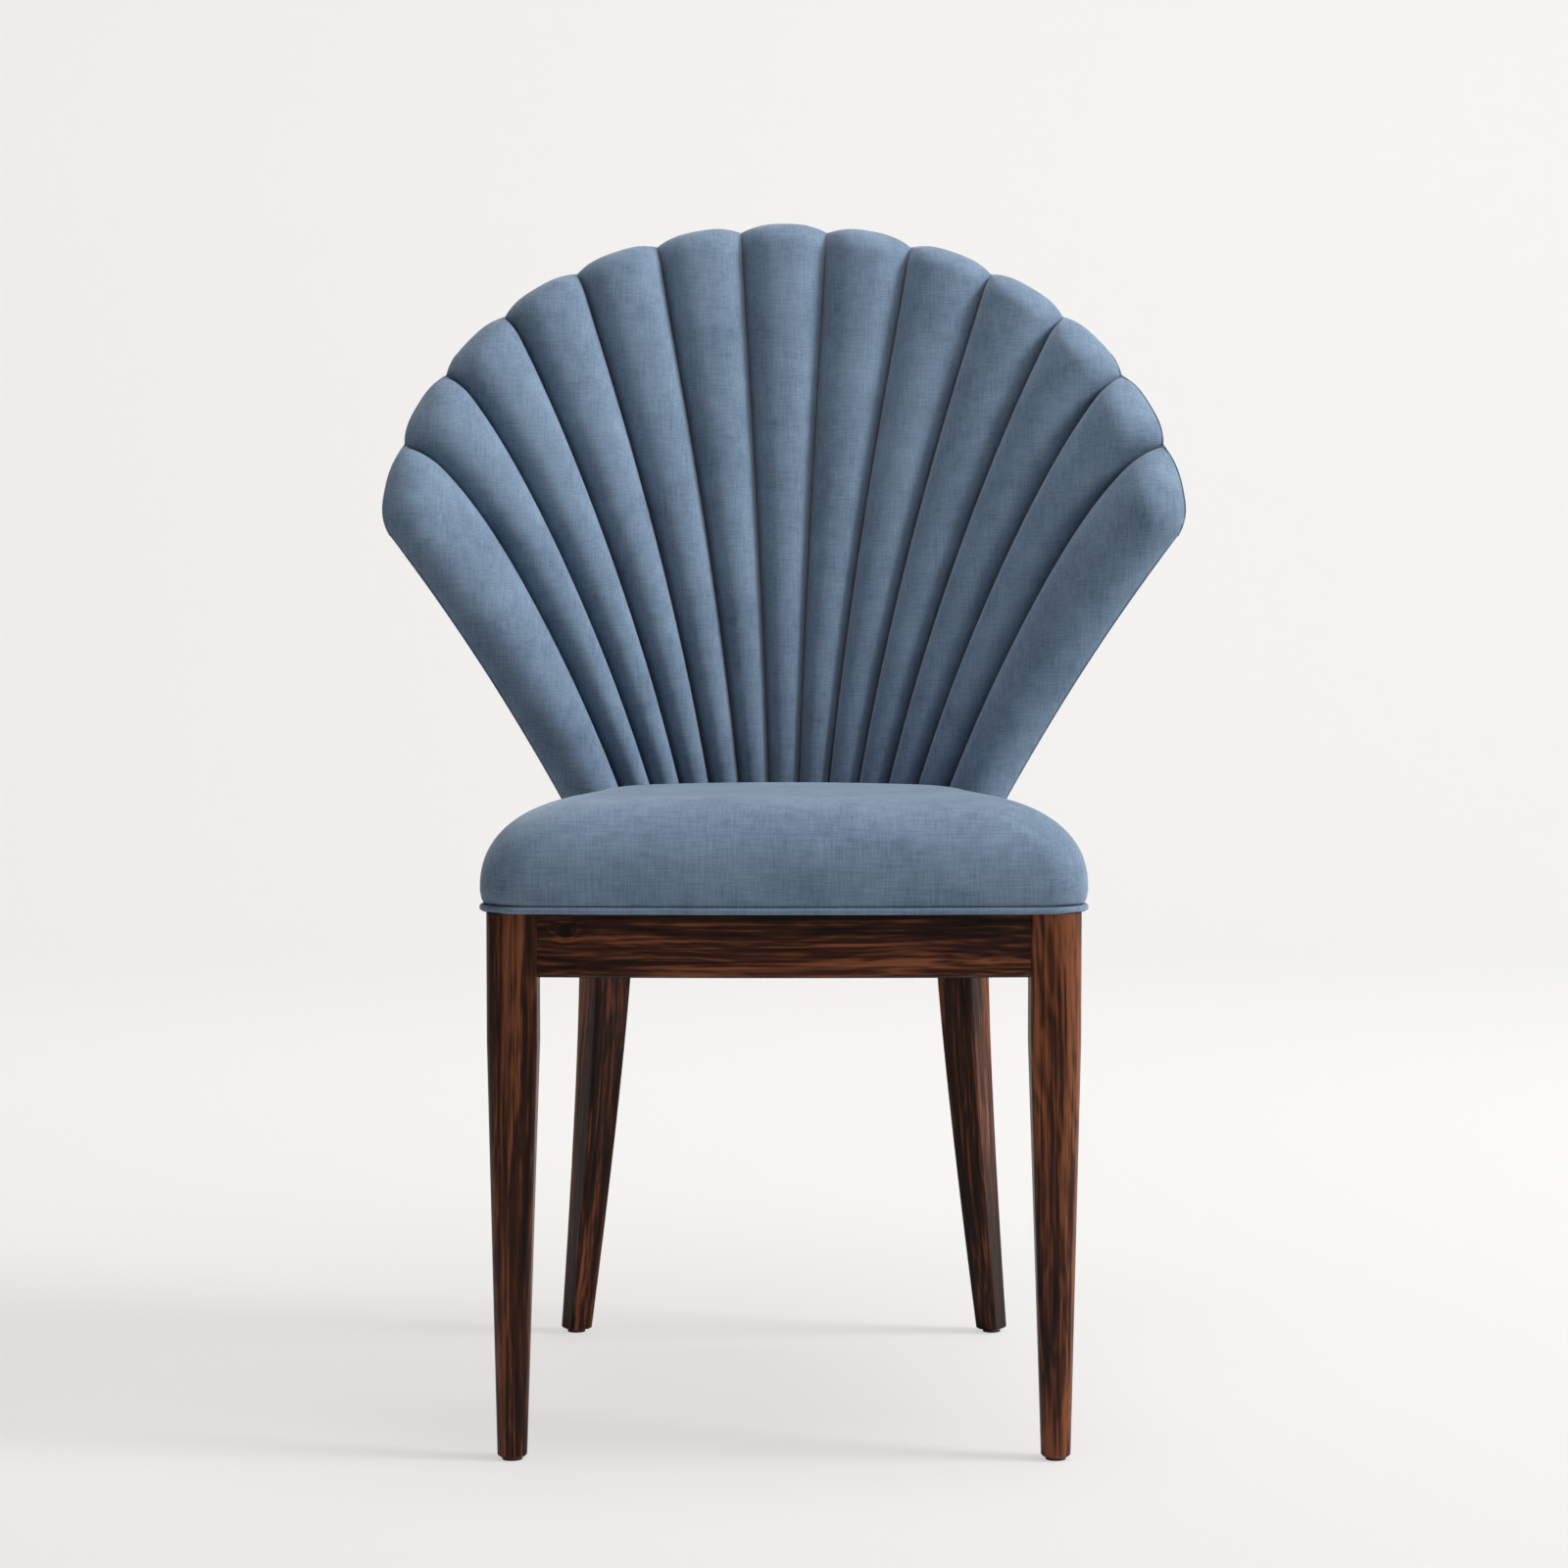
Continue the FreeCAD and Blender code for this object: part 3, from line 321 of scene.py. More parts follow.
# grain is lean and turn in degrees, then shift; a knot is a place and radius
timbers = {
    "walnutLegLeft": {"parts": ["front_leg_left"], "lift": 0.42, "knots": [],
                      "grain": ((0, -0.6, 0), (0, 0, 0), (-0.35, 0.10, 0.0))},
    # the right front leg's higher lift is painted light: it makes the leg lighter, as the key lamp on its
    # right side would
    "walnutLegRight": {"parts": ["front_leg_right"], "lift": 0.61,
                       "knots": [((0.1985, -0.2700, 0.0870), 0.006)],
                       "grain": ((0, 0.6, 0), (0, 0, 0), (0.22, 0.31, 0.4))},
    "walnutRearLeft": {"parts": ["rear_leg_left"], "lift": 0.50, "knots": [],
                       "grain": ((-13.0, -4.4, 0), (0, 0, 0), (0.1, 0.45, 0.2))},
    "walnutRearRight": {"parts": ["rear_leg_right"], "lift": 0.44, "knots": [],
                        "grain": ((-13.0, 4.4, 0), (0, 0, 0), (0.5, -0.2, 0.1))},
    "walnutFrontRail": {"parts": ["front_rail", "rear_rail"], "lift": 0.45,
                        "knots": [((-0.1598, -0.2860, 0.3934), 0.006)],
                        "grain": ((0, 0, 0), (0, 90, 0), (0.30, 0.20, 0.2))},
    "walnutSideLeft": {"parts": ["side_rail_left"], "lift": 0.44, "knots": [],
                       "grain": ((0, 0, 7.0), (90, 0, 0), (0.1, -0.25, 0.0))},
    "walnutSideRight": {"parts": ["side_rail_right"], "lift": 0.44, "knots": [],
                        "grain": ((0, 0, -7.0), (90, 0, 0), (0.3, -0.15, 0.3))},
}


def grainLayer(along, layer):
    stretch, detail, rough, distortion = walnut[layer]
    return along.mapped(stretch).noise(1.0, detail, rough, distortion)


def walnutMaterial(name, lean, turn, shift, lift, knots):
    # lean then turn bring the piece's length to Z, along which the grain runs
    material, wire = newMaterial(name)
    place = objectPlace(wire)
    upright = place.mapped((1.0, 1.0, 1.0), [math.radians(a) for a in lean])
    along = upright.mapped((1.0, 1.0, 1.0), [math.radians(a) for a in turn], shift)
    bend, broad, streak, fine = [grainLayer(along, layer) for layer in ("bend", "broad", "streak", "fine")]
    pores = grainLayer(along, "pores").clamp(walnut["poreFrom"], walnut["poreTo"])
    stretched = along.mapped(walnut["ringStretch"])
    rings = wire.add("ShaderNodeVectorMath", {"operation": "LENGTH"}, {0: stretched}, out=1)
    turnOf = rings * walnut["ringsPerMetre"] + bend * walnut["ringBend"]
    eyes = []
    for centre, radius in knots:
        away = wire.add("ShaderNodeVectorMath", {"operation": "DISTANCE"}, {0: place, 1: centre}, out=1)
        near = (away / radius).clamp(0.0, walnut["knotReach"], 1.0, 0.0)
        turnOf = turnOf + near * walnut["knotTurn"]
        eyes.append((away / radius).clamp(0.2, 1.1, 1.0, 0.0))
    wave = wire.sum("SINE", turnOf * math.tau, 0.0) * 0.5 + 0.5
    # lift sets each piece's overall tone; on the right front leg it also holds painted light
    tone = (broad - 0.5) * walnut["broadShare"] + (wave - 0.5) * walnut["waveShare"]
    tone = tone + (streak - 0.5) * walnut["streakShare"] + (fine - 0.5) * walnut["fineShare"] + lift
    for eye in eyes:
        tone = tone - eye * walnut["knotDark"]
    ramp = wire.add("ShaderNodeValToRGB", {"stops": [(0.08, walnut["dark"]), (0.46, walnut["middle"]),
                                                     (0.92, walnut["red"])]}, {0: tone.clamp()})
    colour = wire.colours(pores * walnut["poreShare"], ramp, walnut["dark"])
    gloss = (fine - 0.5) * 0.10 + pores * 0.12 + 0.36
    bump = bumpFrom(wire, fine * 0.5 - pores * 0.8, 0.25, 0.0003)
    surface = wire.add("ShaderNodeBsdfPrincipled", {}, {
        "Base Color": colour, "Roughness": gloss, "Specular IOR Level": 0.10, "Coat Weight": 0.02,
        "Coat Roughness": 0.28, "Normal": bump})
    finishMaterial(wire, surface)
    return material


plainFinish = {
    "beech": {"low": (0.30, 0.19, 0.105, 1.0), "high": (0.46, 0.31, 0.185, 1.0),
              "grain": (60.0, 60.0, 5.0), "rough": 0.62, "metal": 0.0, "bump": 0.2},
    "plywood": {"low": (0.33, 0.225, 0.125, 1.0), "high": (0.53, 0.39, 0.24, 1.0),
                "grain": (9.0, 60.0, 300.0), "rough": 0.7, "metal": 0.0, "bump": 0.2},
    "steel": {"low": (0.40, 0.40, 0.41, 1.0), "high": (0.60, 0.60, 0.61, 1.0),
              "grain": (900.0, 900.0, 90.0), "rough": 0.34, "metal": 1.0, "bump": 0.1},
    "nylon": {"low": (0.016, 0.013, 0.011, 1.0), "high": (0.030, 0.025, 0.021, 1.0),
              "grain": (300.0, 300.0, 300.0), "rough": 0.48, "metal": 0.0, "bump": 0.15},
    "bottoming": {"low": (0.008, 0.008, 0.009, 1.0), "high": (0.026, 0.026, 0.028, 1.0),
                  "grain": (700.0, 700.0, 250.0), "rough": 0.93, "metal": 0.0, "bump": 0.5},
}


def plainMaterial(name):
    finish = plainFinish[name]
    material, wire = newMaterial(name)
    place = objectPlace(wire)
    grain = place.mapped(finish["grain"]).noise(1.0, 4.0, 0.6)
    wear = place.noise(22.0, 2.0)
    tone = wire.colours((grain * 0.75 + wear * 0.25).clamp(0.3, 0.7), finish["low"], finish["high"])
    gloss = (wear - 0.5) * 0.16 + finish["rough"]
    bump = bumpFrom(wire, grain, finish["bump"], 0.0004)
    surface = wire.add("ShaderNodeBsdfPrincipled", {}, {
        "Base Color": tone, "Roughness": gloss, "Metallic": finish["metal"], "Normal": bump})
    finishMaterial(wire, surface)
    return material


# the curved back that the pads lie on

back = {
    "legFront": -0.286542,      # the front legs' front face
    "footRadius": 0.290,        # plan radius of the shell's face at the seat
    "footDepth": 0.470,
    "opening": 0.510,
    "leanFrom": 0.430,
    "leanSpan": 0.521,
    "leanSlope": math.tan(math.radians(12.0)),
    "leanBlend": 0.120,
    "crownHeight": 0.527,       # centre of the rim's crown arc
    "crownRadius": 0.416,
    "shoulderFrom": 25.2,       # degrees where the crown meets a shoulder arc
    "shoulderRadius": 0.272,
    "tipAngle": 83.0,
    "sideFoot": (0.138, 0.362),
    "sidePull": 0.209,
    "behind": -0.0126,          # just past the shell's rear face
    "normalStep": 0.001,
    "tipCorner": 0.026,         # rounding of the rim at its two side tips
    "tipSpans": 8,
    "shoulderSpans": 30,
    "crownSpans": 20,
    "sideSpans": 60,
}


def shellRadius(z):
    share = max(0.0, z - back["leanFrom"]) / back["leanSpan"]
    return back["footRadius"] + back["opening"] * share ** 1.5


def shellDepth(z):
    rise = max(0.0, z - back["leanFrom"])
    blend = back["leanBlend"]
    lean = rise * rise / (2 * blend) if rise < blend else rise - blend / 2
    return back["legFront"] + back["footDepth"] + back["leanSlope"] * lean


def shellFace(x, z):
    radius = shellRadius(z)
    return Vector((x, shellDepth(z) - radius + math.sqrt(radius * radius - x * x), z))


def offShell(x, z, out):
    # in front of the shell along its normal; behind it straight back, so that edges line up
    if out < 0:
        radius = shellRadius(z)
        return Vector((x, shellDepth(z) - radius + math.sqrt((radius - out) ** 2 - x * x), z))
    step = back["normalStep"]
    across = shellFace(x + step, z) - shellFace(x - step, z)
    up = shellFace(x, z + step) - shellFace(x, z - step)
    return shellFace(x, z) + across.cross(up).normalized() * out


def upAt(angle):
    return Vector((math.sin(math.radians(angle)), math.cos(math.radians(angle))))


def shoulderHub():
    return (Vector((0.0, back["crownHeight"]))
            + upAt(back["shoulderFrom"]) * (back["crownRadius"] - back["shoulderRadius"]))


def shoulderPoint(inset, angle):
    return shoulderHub() + upAt(angle) * (back["shoulderRadius"] - inset)


def rimBelow(plan, inset):
    # the nearest place to plan on the rim, for a place beyond it, and plan for one inside
    crown = Vector((0.0, back["crownHeight"]))
    flat = Vector((abs(plan.x), plan.y))
    onCrown = (flat - crown).angle_signed(Vector((0.0, 1.0))) < math.radians(back["shoulderFrom"])
    hub, reach = (crown, back["crownRadius"]) if onCrown else (shoulderHub(), back["shoulderRadius"])
    away = flat - hub
    spot = hub + away * min(1.0, (reach - inset) / away.length)
    return Vector((math.copysign(spot.x, plan.x), spot.y))


def bezier(first, pull, last, share):
    rest = 1.0 - share
    return first * rest * rest + pull * (2.0 * share * rest) + last * (share * share)


def sidePoints(inset):
    tip = shoulderPoint(0.0, back["tipAngle"])
    footX, footZ = back["sideFoot"]
    shift = inset / math.cos(math.atan2(tip.x - footX, tip.y - footZ))
    middle = Vector((back["sidePull"] - shift, (footZ + tip.y) / 2))
    return Vector((footX - shift, footZ)), middle, shoulderPoint(inset, back["tipAngle"])


# thirteen channel pads

pads = {
    "count": 13,
    "seatWidth": 0.027,
    "pullWidth": 0.0442,
    "crestWidth": 0.0775,
    "seatLine": 0.481,
    "fanHeight": 0.598,
    "notchRadius": 0.347,
    "notchBulge": 0.013,
    "notchAngle": 12.4,
    "notchLoss": 0.165,
    "hookPower": 9,
    "bottom": 0.422,
    "depth": 0.030,
    "fullness": 2.35,           # 2 is an ellipse, more is squarer
    "gap": -0.00012,            # below zero, neighbours overlap and hide the shell in the grooves
    "seam": 0.0012,             # how far the seams stand off the shell
    "roll": 0.024,
    "rise": 0.0076,
    "risePower": 2.8,
    "wingRise": 0.0098,
    "wingPower": 2.5,
    "wingPeak": 0.16,           # a wing's highest place, off its middle
    "riseGrowth": 5,            # power by which the rise comes up towards the crest
    "tipDrop": 0.009,
    "edgeInset": 0.0008,
    "under": 0.0005,            # how far the hidden side stands off the shell
    "underWidth": 0.99,
    "wingWrap": 0.985,          # from here outwards a wing's hidden side lies behind the shell
    "rimInset": 0.0022,
    "thinnest": 0.0004,
    "weld": 0.00002,
    "across": 30,
    "bodyRows": 84,
    "rollRows": 26,
}


def padSpacing(z):
    crest = pads["fanHeight"] + pads["notchRadius"]
    share = (z - pads["seatLine"]) / (crest - pads["seatLine"])
    return bezier(pads["seatWidth"], pads["pullWidth"], pads["crestWidth"], share)


def seamTop(place):
    index = abs(place)
    if index == pads["count"] / 2:
        return sidePoints(pads["edgeInset"])[2] - Vector((0.0, pads["tipDrop"]))
    angle = index * (pads["notchAngle"] - pads["notchLoss"] * index)
    bulge = pads["notchBulge"] * math.sin(math.radians(2 * angle)) ** 3
    return Vector((0.0, pads["fanHeight"])) + upAt(angle) * (pads["notchRadius"] + bulge)


def seamPoint(place, share):
    index = abs(place)
    top = seamTop(place)
    z = pads["bottom"] + (top.y - pads["bottom"]) * share
    if index == pads["count"] / 2:
        foot, pull, tip = sidePoints(pads["edgeInset"])
        x = bezier(foot.x, pull.x, tip.x, (z - foot.y) / (tip.y - foot.y))
    else:
        hook = top.x / (index * padSpacing(top.y)) - 1.0
        x = index * padSpacing(z) * (1.0 + hook * share ** pads["hookPower"])
    return Vector((math.copysign(x, place), z))


def isWing(number):
    return abs(number) == (pads["count"] - 1) / 2


def padPlan(number, u, share):
    # place on the shell, seen from the front; share 1 is the crest of the scallop
    left = seamPoint(number - 0.5, share)
    right = seamPoint(number + 0.5, share)
    across = right - left
    up = Vector((-across.y, across.x)).normalized()
    inset = pads["gap"] / across.length
    plan = left.lerp(right, inset + (1 - 2 * inset) * (u + 1) / 2)
    rise, peak, power = pads["rise"], 0.0, pads["risePower"]
    if isWing(number):
        rise, peak, power = pads["wingRise"], math.copysign(pads["wingPeak"], number), pads["wingPower"]
    side = (u - peak) / (1 - peak if u > peak else 1 + peak)
    return plan + up * (rise * (1 - abs(side) ** power) * share ** pads["riseGrowth"])


def padLength(number):
    foot = padPlan(number, 0.0, 0.0)
    return (padPlan(number, 0.0, 1.0) - foot).length


def padPoint(number, gridU, gridV, inner):
    # gridU runs across the pad and gridV up it, both from -1 to 1; inner is the hidden side
    angle = gridU * math.pi / 2
    power = 2 / pads["fullness"]
    u = math.copysign(abs(math.sin(angle)) ** power, gridU)
    bulge = abs(math.cos(angle)) ** power
    wing = isWing(number) and u * number > 0
    behind = back["behind"]
    low = behind if wing else pads["seam"]
    out = low + (pads["depth"] - low) * bulge
    row = (gridV + 1) / 2 * (pads["bodyRows"] + pads["rollRows"])
    length = padLength(number)
    rollStart = 1 - pads["roll"] / length
    under = pads["under"]
    if row <= pads["bodyRows"]:
        width = pads["underWidth"] if inner else 1.0
        plan = padPlan(number, u * width, rollStart * row / pads["bodyRows"])
        if inner:
            out = behind if wing and abs(u) > pads["wingWrap"] else under
        return offShell(plan.x, plan.y, out)
    turn = (row - pads["bodyRows"]) / pads["rollRows"] * math.pi
    crest = padPlan(number, u, 1.0)
    edge = rimBelow(crest, pads["rimInset"])
    middle = min(behind / 2, out)
    if turn <= math.pi / 2:
        plan = padPlan(number, u, 1 - pads["roll"] * (1 - math.sin(turn)) / length)
        out = middle + (out - middle) * math.cos(turn)
        if inner:
            plan = plan.lerp(edge, math.sin(turn) ** 4)
            out = min(under, out - pads["thinnest"])
    else:
        plan = edge.lerp(crest, math.sin(turn))
        out = middle + (middle - behind) * math.cos(turn)
        if inner:
            plan = edge
            out = under + (behind - under) * (turn - math.pi / 2) / (math.pi / 2)
    return offShell(plan.x, plan.y, out)


def makePad(number, name, material):
    shape = bmesh.new()
    rows = pads["bodyRows"] + pads["rollRows"]
    bmesh.ops.create_grid(shape, x_segments=pads["across"], y_segments=rows, size=1.0)
    grown = bmesh.ops.extrude_face_region(shape, geom=shape.faces[:], use_keep_orig=True)
    lower = [g for g in grown["geom"] if isinstance(g, bmesh.types.BMVert)]
    bmesh.ops.translate(shape, verts=lower, vec=(0.0, 0.0, -1.0))
    for vert in shape.verts:
        vert.co = padPoint(number, vert.co.x, vert.co.y, vert.co.z < -0.5)
    bmesh.ops.remove_doubles(shape, verts=shape.verts, dist=pads["weld"])
    bmesh.ops.recalc_face_normals(shape, faces=shape.faces)
    return meshObject(name, shape, material, 50.0)


def makePads(material):
    half = (pads["count"] - 1) // 2
    for index in range(1, pads["count"] + 1):
        pad = makePad(index - 1 - half, "channel_pad_%02d" % index, material)
        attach(pad, "root")
        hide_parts("channel_cover_%02d" % index, "channel_foam_%02d" % index)
    print("pads made:", pads["count"])


# seat cushion

seat = {
    "sideFrom": (0.2174, 0.038),
    "sideTo": (0.171092, 0.414082),
    "overhang": 0.006,
    "bow": 0.006,
    "bowHalfChord": 0.190,
    "frontOverhang": 0.004,
    "rearHub": 0.180,
    "rearRadius": 0.258,
    "frontCorner": 0.034,
    "rearCorner": 0.014,
    "cornerGrowth": 0.6,
    "frontSpans": 14,
    "frontCornerSpans": 12,
    "sideSpans": 14,
    "rearCornerSpans": 8,
    "rearSpans": 12,
    "bottom": 0.4116,
    "tuck": 0.0030,
    "tuckFurther": 0.006,
    "seamRise": 0.0012,         # heights above the bottom where the cover comes out of the seam
    "seamTop": 0.0040,
    "seamTopInset": 0.0008,
    "top": 0.4875,
    "rollHeight": 0.066,
    "rollWidth": 0.080,
    "fullness": 2.4,
    "rollRows": 34,
    "crownRows": 22,
    "rearDrop": 0.008,          # the top falls this much from the front to the back
    "dropFrom": -0.25,
    "dropTo": 0.10,
    "centre": (0.0, 0.185),
}


def tangentCorner(inset, rounding, hub, reach, ahead):
    # corner arc between the right side line and a circle round hub
    start = Vector(seat["sideFrom"]) + Vector((seat["overhang"], 0.0))
    along = (Vector(seat["sideTo"]) - Vector(seat["sideFrom"])).normalized()
    inward = Vector((-along.y, along.x))
    origin = start + inward * (inset + rounding) - hub
    middle = -origin.dot(along)
    swing = math.sqrt(middle * middle - origin.dot(origin) + (reach - rounding) ** 2)
    centre = hub + origin + along * (middle + ahead * swing)
    return centre, -inward, (centre - hub).normalized(), rounding


def arcPoints(centre, first, last, radius, count):
    # points along the shorter arc between two unit directions, without the last
    turn = first.angle_signed(last)
    return [centre + Matrix.Rotation(-turn * i / count, 2) @ first * radius for i in range(count)]


def seatOutline(inset, frontCorner, rearCorner, rearRadius):
    # closed outline in plan, from the middle of the front towards the right
    bowRadius = (seat["bowHalfChord"] ** 2 + seat["bow"] ** 2) / (2 * seat["bow"])
    frontHub = Vector((0.0, bowRadius - seat["bow"] - seat["frontOverhang"]))
    rearHub = Vector((0.0, seat["rearHub"]))
    front = tangentCorner(inset, frontCorner, frontHub, bowRadius - inset, -1)
    rear = tangentCorner(inset, rearCorner, rearHub, rearRadius, 1)
    right = arcPoints(frontHub, Vector((0.0, -1.0)), front[2], bowRadius - inset, seat["frontSpans"])
    right += arcPoints(front[0], front[2], front[1], front[3], seat["frontCornerSpans"])
    sideFrom = front[0] + front[1] * front[3]
    sideTo = rear[0] + rear[1] * rear[3]
    right += [sideFrom.lerp(sideTo, i / seat["sideSpans"]) for i in range(seat["sideSpans"])]
    right += arcPoints(rear[0], rear[1], rear[2], rear[3], seat["rearCornerSpans"])
    right += arcPoints(rearHub, rear[2], Vector((0.0, 1.0)), rearRadius, seat["rearSpans"])
    tail = rearHub + Vector((0.0, rearRadius))
    left = [Vector((-p.x, p.y)) for p in right[:0:-1]]
    return right + [tail] + left


def seatRing(roll):
    growth = seat["cornerGrowth"] * roll
    return seatOutline(roll, seat["frontCorner"] + growth, seat["rearCorner"] + growth,
                       seat["rearRadius"] - roll)


def dropped(spot, z):
    # the seat's top leans down towards the back
    share = (spot.y + back["legFront"] - seat["dropFrom"]) / (seat["dropTo"] - seat["dropFrom"])
    share = min(1.0, max(0.0, share))
    lean = share * share * (3 - 2 * share) * seat["rearDrop"]
    height = (z - seat["bottom"]) / (seat["top"] - seat["bottom"])
    return Vector((spot.x, spot.y + back["legFront"], z - lean * height))


def nextRing(shape, ring, edges):
    # extrudes a closed ring of edges; gives the new vertices in the same order
    made = bmesh.ops.extrude_edge_only(shape, edges=edges)
    fresh = {g for g in made["geom"] if isinstance(g, bmesh.types.BMVert)}
    order = [next(e.other_vert(v) for e in v.link_edges if e.other_vert(v) in fresh) for v in ring]
    return order, [g for g in made["geom"] if isinstance(g, bmesh.types.BMEdge)]


def startRing(shape, count):
    bmesh.ops.create_circle(shape, cap_ends=False, segments=count, radius=1.0)
    ring = sorted(shape.verts, key=lambda v: -math.atan2(v.co.y, v.co.x) % (2 * math.pi))
    return ring, shape.edges[:]


def placeRing(ring, places):
    for vert, place in zip(ring, places):
        vert.co = place


def cushionLevels():
    # inset from the seat's outline and height, from the seam at the bottom to the flat of the top
    levels = [(seat["tuck"] + seat["tuckFurther"], seat["bottom"]), (seat["tuck"], seat["bottom"]),
              (seat["tuck"] * 0.55, seat["bottom"] + seat["seamRise"]),
              (seat["seamTopInset"], seat["bottom"] + seat["seamTop"])]
    power = 2 / seat["fullness"]
    for step in range(seat["rollRows"] + 1):
        turn = math.pi / 2 * step / seat["rollRows"]
        levels.append((seat["rollWidth"] * (1 - math.cos(turn) ** power),
                       seat["top"] - seat["rollHeight"] * (1 - math.sin(turn) ** power)))
    return levels


def makeCushion(material):
    shape = bmesh.new()
    ring, edges = startRing(shape, len(seatRing(0.0)))
    underneath = edges
    levels = cushionLevels()
    for index, (inset, z) in enumerate(levels):
        if index:
            ring, edges = nextRing(shape, ring, edges)
        placeRing(ring, [dropped(spot, z) for spot in seatRing(inset)])
    outline = seatRing(levels[-1][0])
    centre = Vector(seat["centre"])
    for step in range(1, seat["crownRows"]):
        ring, edges = nextRing(shape, ring, edges)
        placeRing(ring, [dropped(centre.lerp(spot, 1 - step / seat["crownRows"]), seat["top"])
                         for spot in outline])
    bmesh.ops.edgeloop_fill(shape, edges=edges)
    bmesh.ops.edgeloop_fill(shape, edges=underneath)
    bmesh.ops.recalc_face_normals(shape, faces=shape.faces)
    cushion = meshObject("seat_cushion", shape, material, 40.0)
    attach(cushion, "root")
    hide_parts("seat_cover", "seat_foam")
    print("cushion made")


# piping under the cushion and round the back

piping = {
    "seatRadius": 0.0026,
    "seatInset": 0.0022,
    "seatHeight": 0.4088,
    "backRadius": 0.0024,
    "backInset": 0.0022,
    "backBehind": 0.0144,
    "sides": 14,
    "seatPoints": 41,           # of the seat's outline: front, corner and side up to the rear corner
}


def sweepTube(shape, path, radius, up):
    # round tube in an empty shape along a path, with closed ends; the direction up keeps it from turning
    made = bmesh.ops.create_circle(shape, cap_ends=False, segments=piping["sides"], radius=radius)
    ring = sorted(made["verts"], key=lambda v: math.atan2(v.co.y, v.co.x))
    edges = shape.edges[:]
    first = edges
    for index, spot in enumerate(path):
        if index:
            ring, edges = nextRing(shape, ring, edges)
        ahead = (path[min(index + 1, len(path) - 1)] - path[max(index - 1, 0)]).normalized()
        side = ahead.cross(up).normalized()
        high = side.cross(ahead)
        for turn, vert in enumerate(ring):
            angle = 2 * math.pi * turn / len(ring)
            vert.co = spot + (side * math.cos(angle) + high * math.sin(angle)) * radius
    bmesh.ops.edgeloop_fill(shape, edges=first)
    bmesh.ops.edgeloop_fill(shape, edges=edges)


def backRim(inset):
    # outline of the back seen from the front, from the left foot over the crown to the right
    foot, pull, tip = sidePoints(inset)
    spans = back["sideSpans"]
    side = [bezier(foot, pull, tip, i / spans) for i in range(spans)]
    ahead = (tip - pull).normalized()
    outward = upAt(back["tipAngle"])
    bend = math.acos(ahead.dot(Vector((-outward.y, outward.x))))
    trim = (back["tipCorner"] - inset) * math.tan(bend / 2)
    side = [p for p in side if (tip - p).length > trim]
    first = back["tipAngle"] - math.degrees(trim / back["shoulderRadius"])
    end = shoulderPoint(inset, first)
    spans = back["tipSpans"]
    rounding = [bezier(side[-1], tip, end, i / spans) for i in range(1, spans)]
    spans, last = back["shoulderSpans"], back["shoulderFrom"]
    shoulder = [shoulderPoint(inset, first + (last - first) * i / spans) for i in range(spans)]
    spans, reach = back["crownSpans"], back["crownRadius"] - inset
    hub = Vector((0.0, back["crownHeight"]))
    crown = [hub + upAt(last * (1 - i / spans)) * reach for i in range(spans + 1)]
    right = side + rounding + shoulder + crown
    left = [Vector((-p.x, p.y)) for p in right[:-1]]
    return left + right[::-1]


def makePipings(material):
    shape = bmesh.new()
    inset = piping["seatInset"]
    outline = seatOutline(inset, seat["frontCorner"] - inset, seat["rearCorner"], seat["rearRadius"])
    right = outline[:piping["seatPoints"]]
    path = [Vector((-p.x, p.y)) for p in right[:0:-1]] + right
    path = [Vector((p.x, p.y + back["legFront"], piping["seatHeight"])) for p in path]
    sweepTube(shape, path, piping["seatRadius"], Vector((0.0, 0.0, 1.0)))
    bmesh.ops.recalc_face_normals(shape, faces=shape.faces)
    seatCord = meshObject("seat_welt", shape, material, 60.0)
    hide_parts("seat_piping")

    shape = bmesh.new()
    path = [offShell(p.x, p.y, -piping["backBehind"]) for p in backRim(piping["backInset"])]
    sweepTube(shape, path, piping["backRadius"], Vector((0.0, 1.0, 0.0)))
    bmesh.ops.recalc_face_normals(shape, faces=shape.faces)
    backCord = meshObject("back_welt", shape, material, 60.0)
    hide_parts("edge_welt")
    for cordPiece in (seatCord, backCord):
        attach(cordPiece, "root")
    print("pipings made")


# cloth panel on the outside of the back, and the dust cover under the seat

outsideBack = {
    "inset": 0.0040,
    "hemInsets": (0.0028, 0.0020),
    "turnedOver": 0.0004,       # the cloth goes round the shell's edge to here
    "front": 0.0125,
    "thickness": 0.0024,
    "crown": 0.0012,
    "hemShort": 0.0008,         # the turned edge ends this far in front of the rear face
    "rimShort": 0.0002,
    "centre": (0.0, 0.640),
    "rings": 30,
    "footSpans": 24,
    "flat": (0.70, 0.62),
}

dustCover = {
    "top": 0.3597,
    "thickness": 0.0008,
    "sag": 0.004,
    "rings": 14,
    "inset": 0.012,
    "rearRadius": 0.283,
    "centre": (0.0, 0.220),
    "flat": (0.43, 0.46),
}


def clothArea(shape):
    # one side of a thin closed piece
    return sum(face.calc_area() for face in shape.faces) / 2


def panelOutline(inset):
    outline = backRim(inset)
    spans = outsideBack["footSpans"]
    return outline + [outline[-1].lerp(outline[0], i / spans) for i in range(1, spans)]


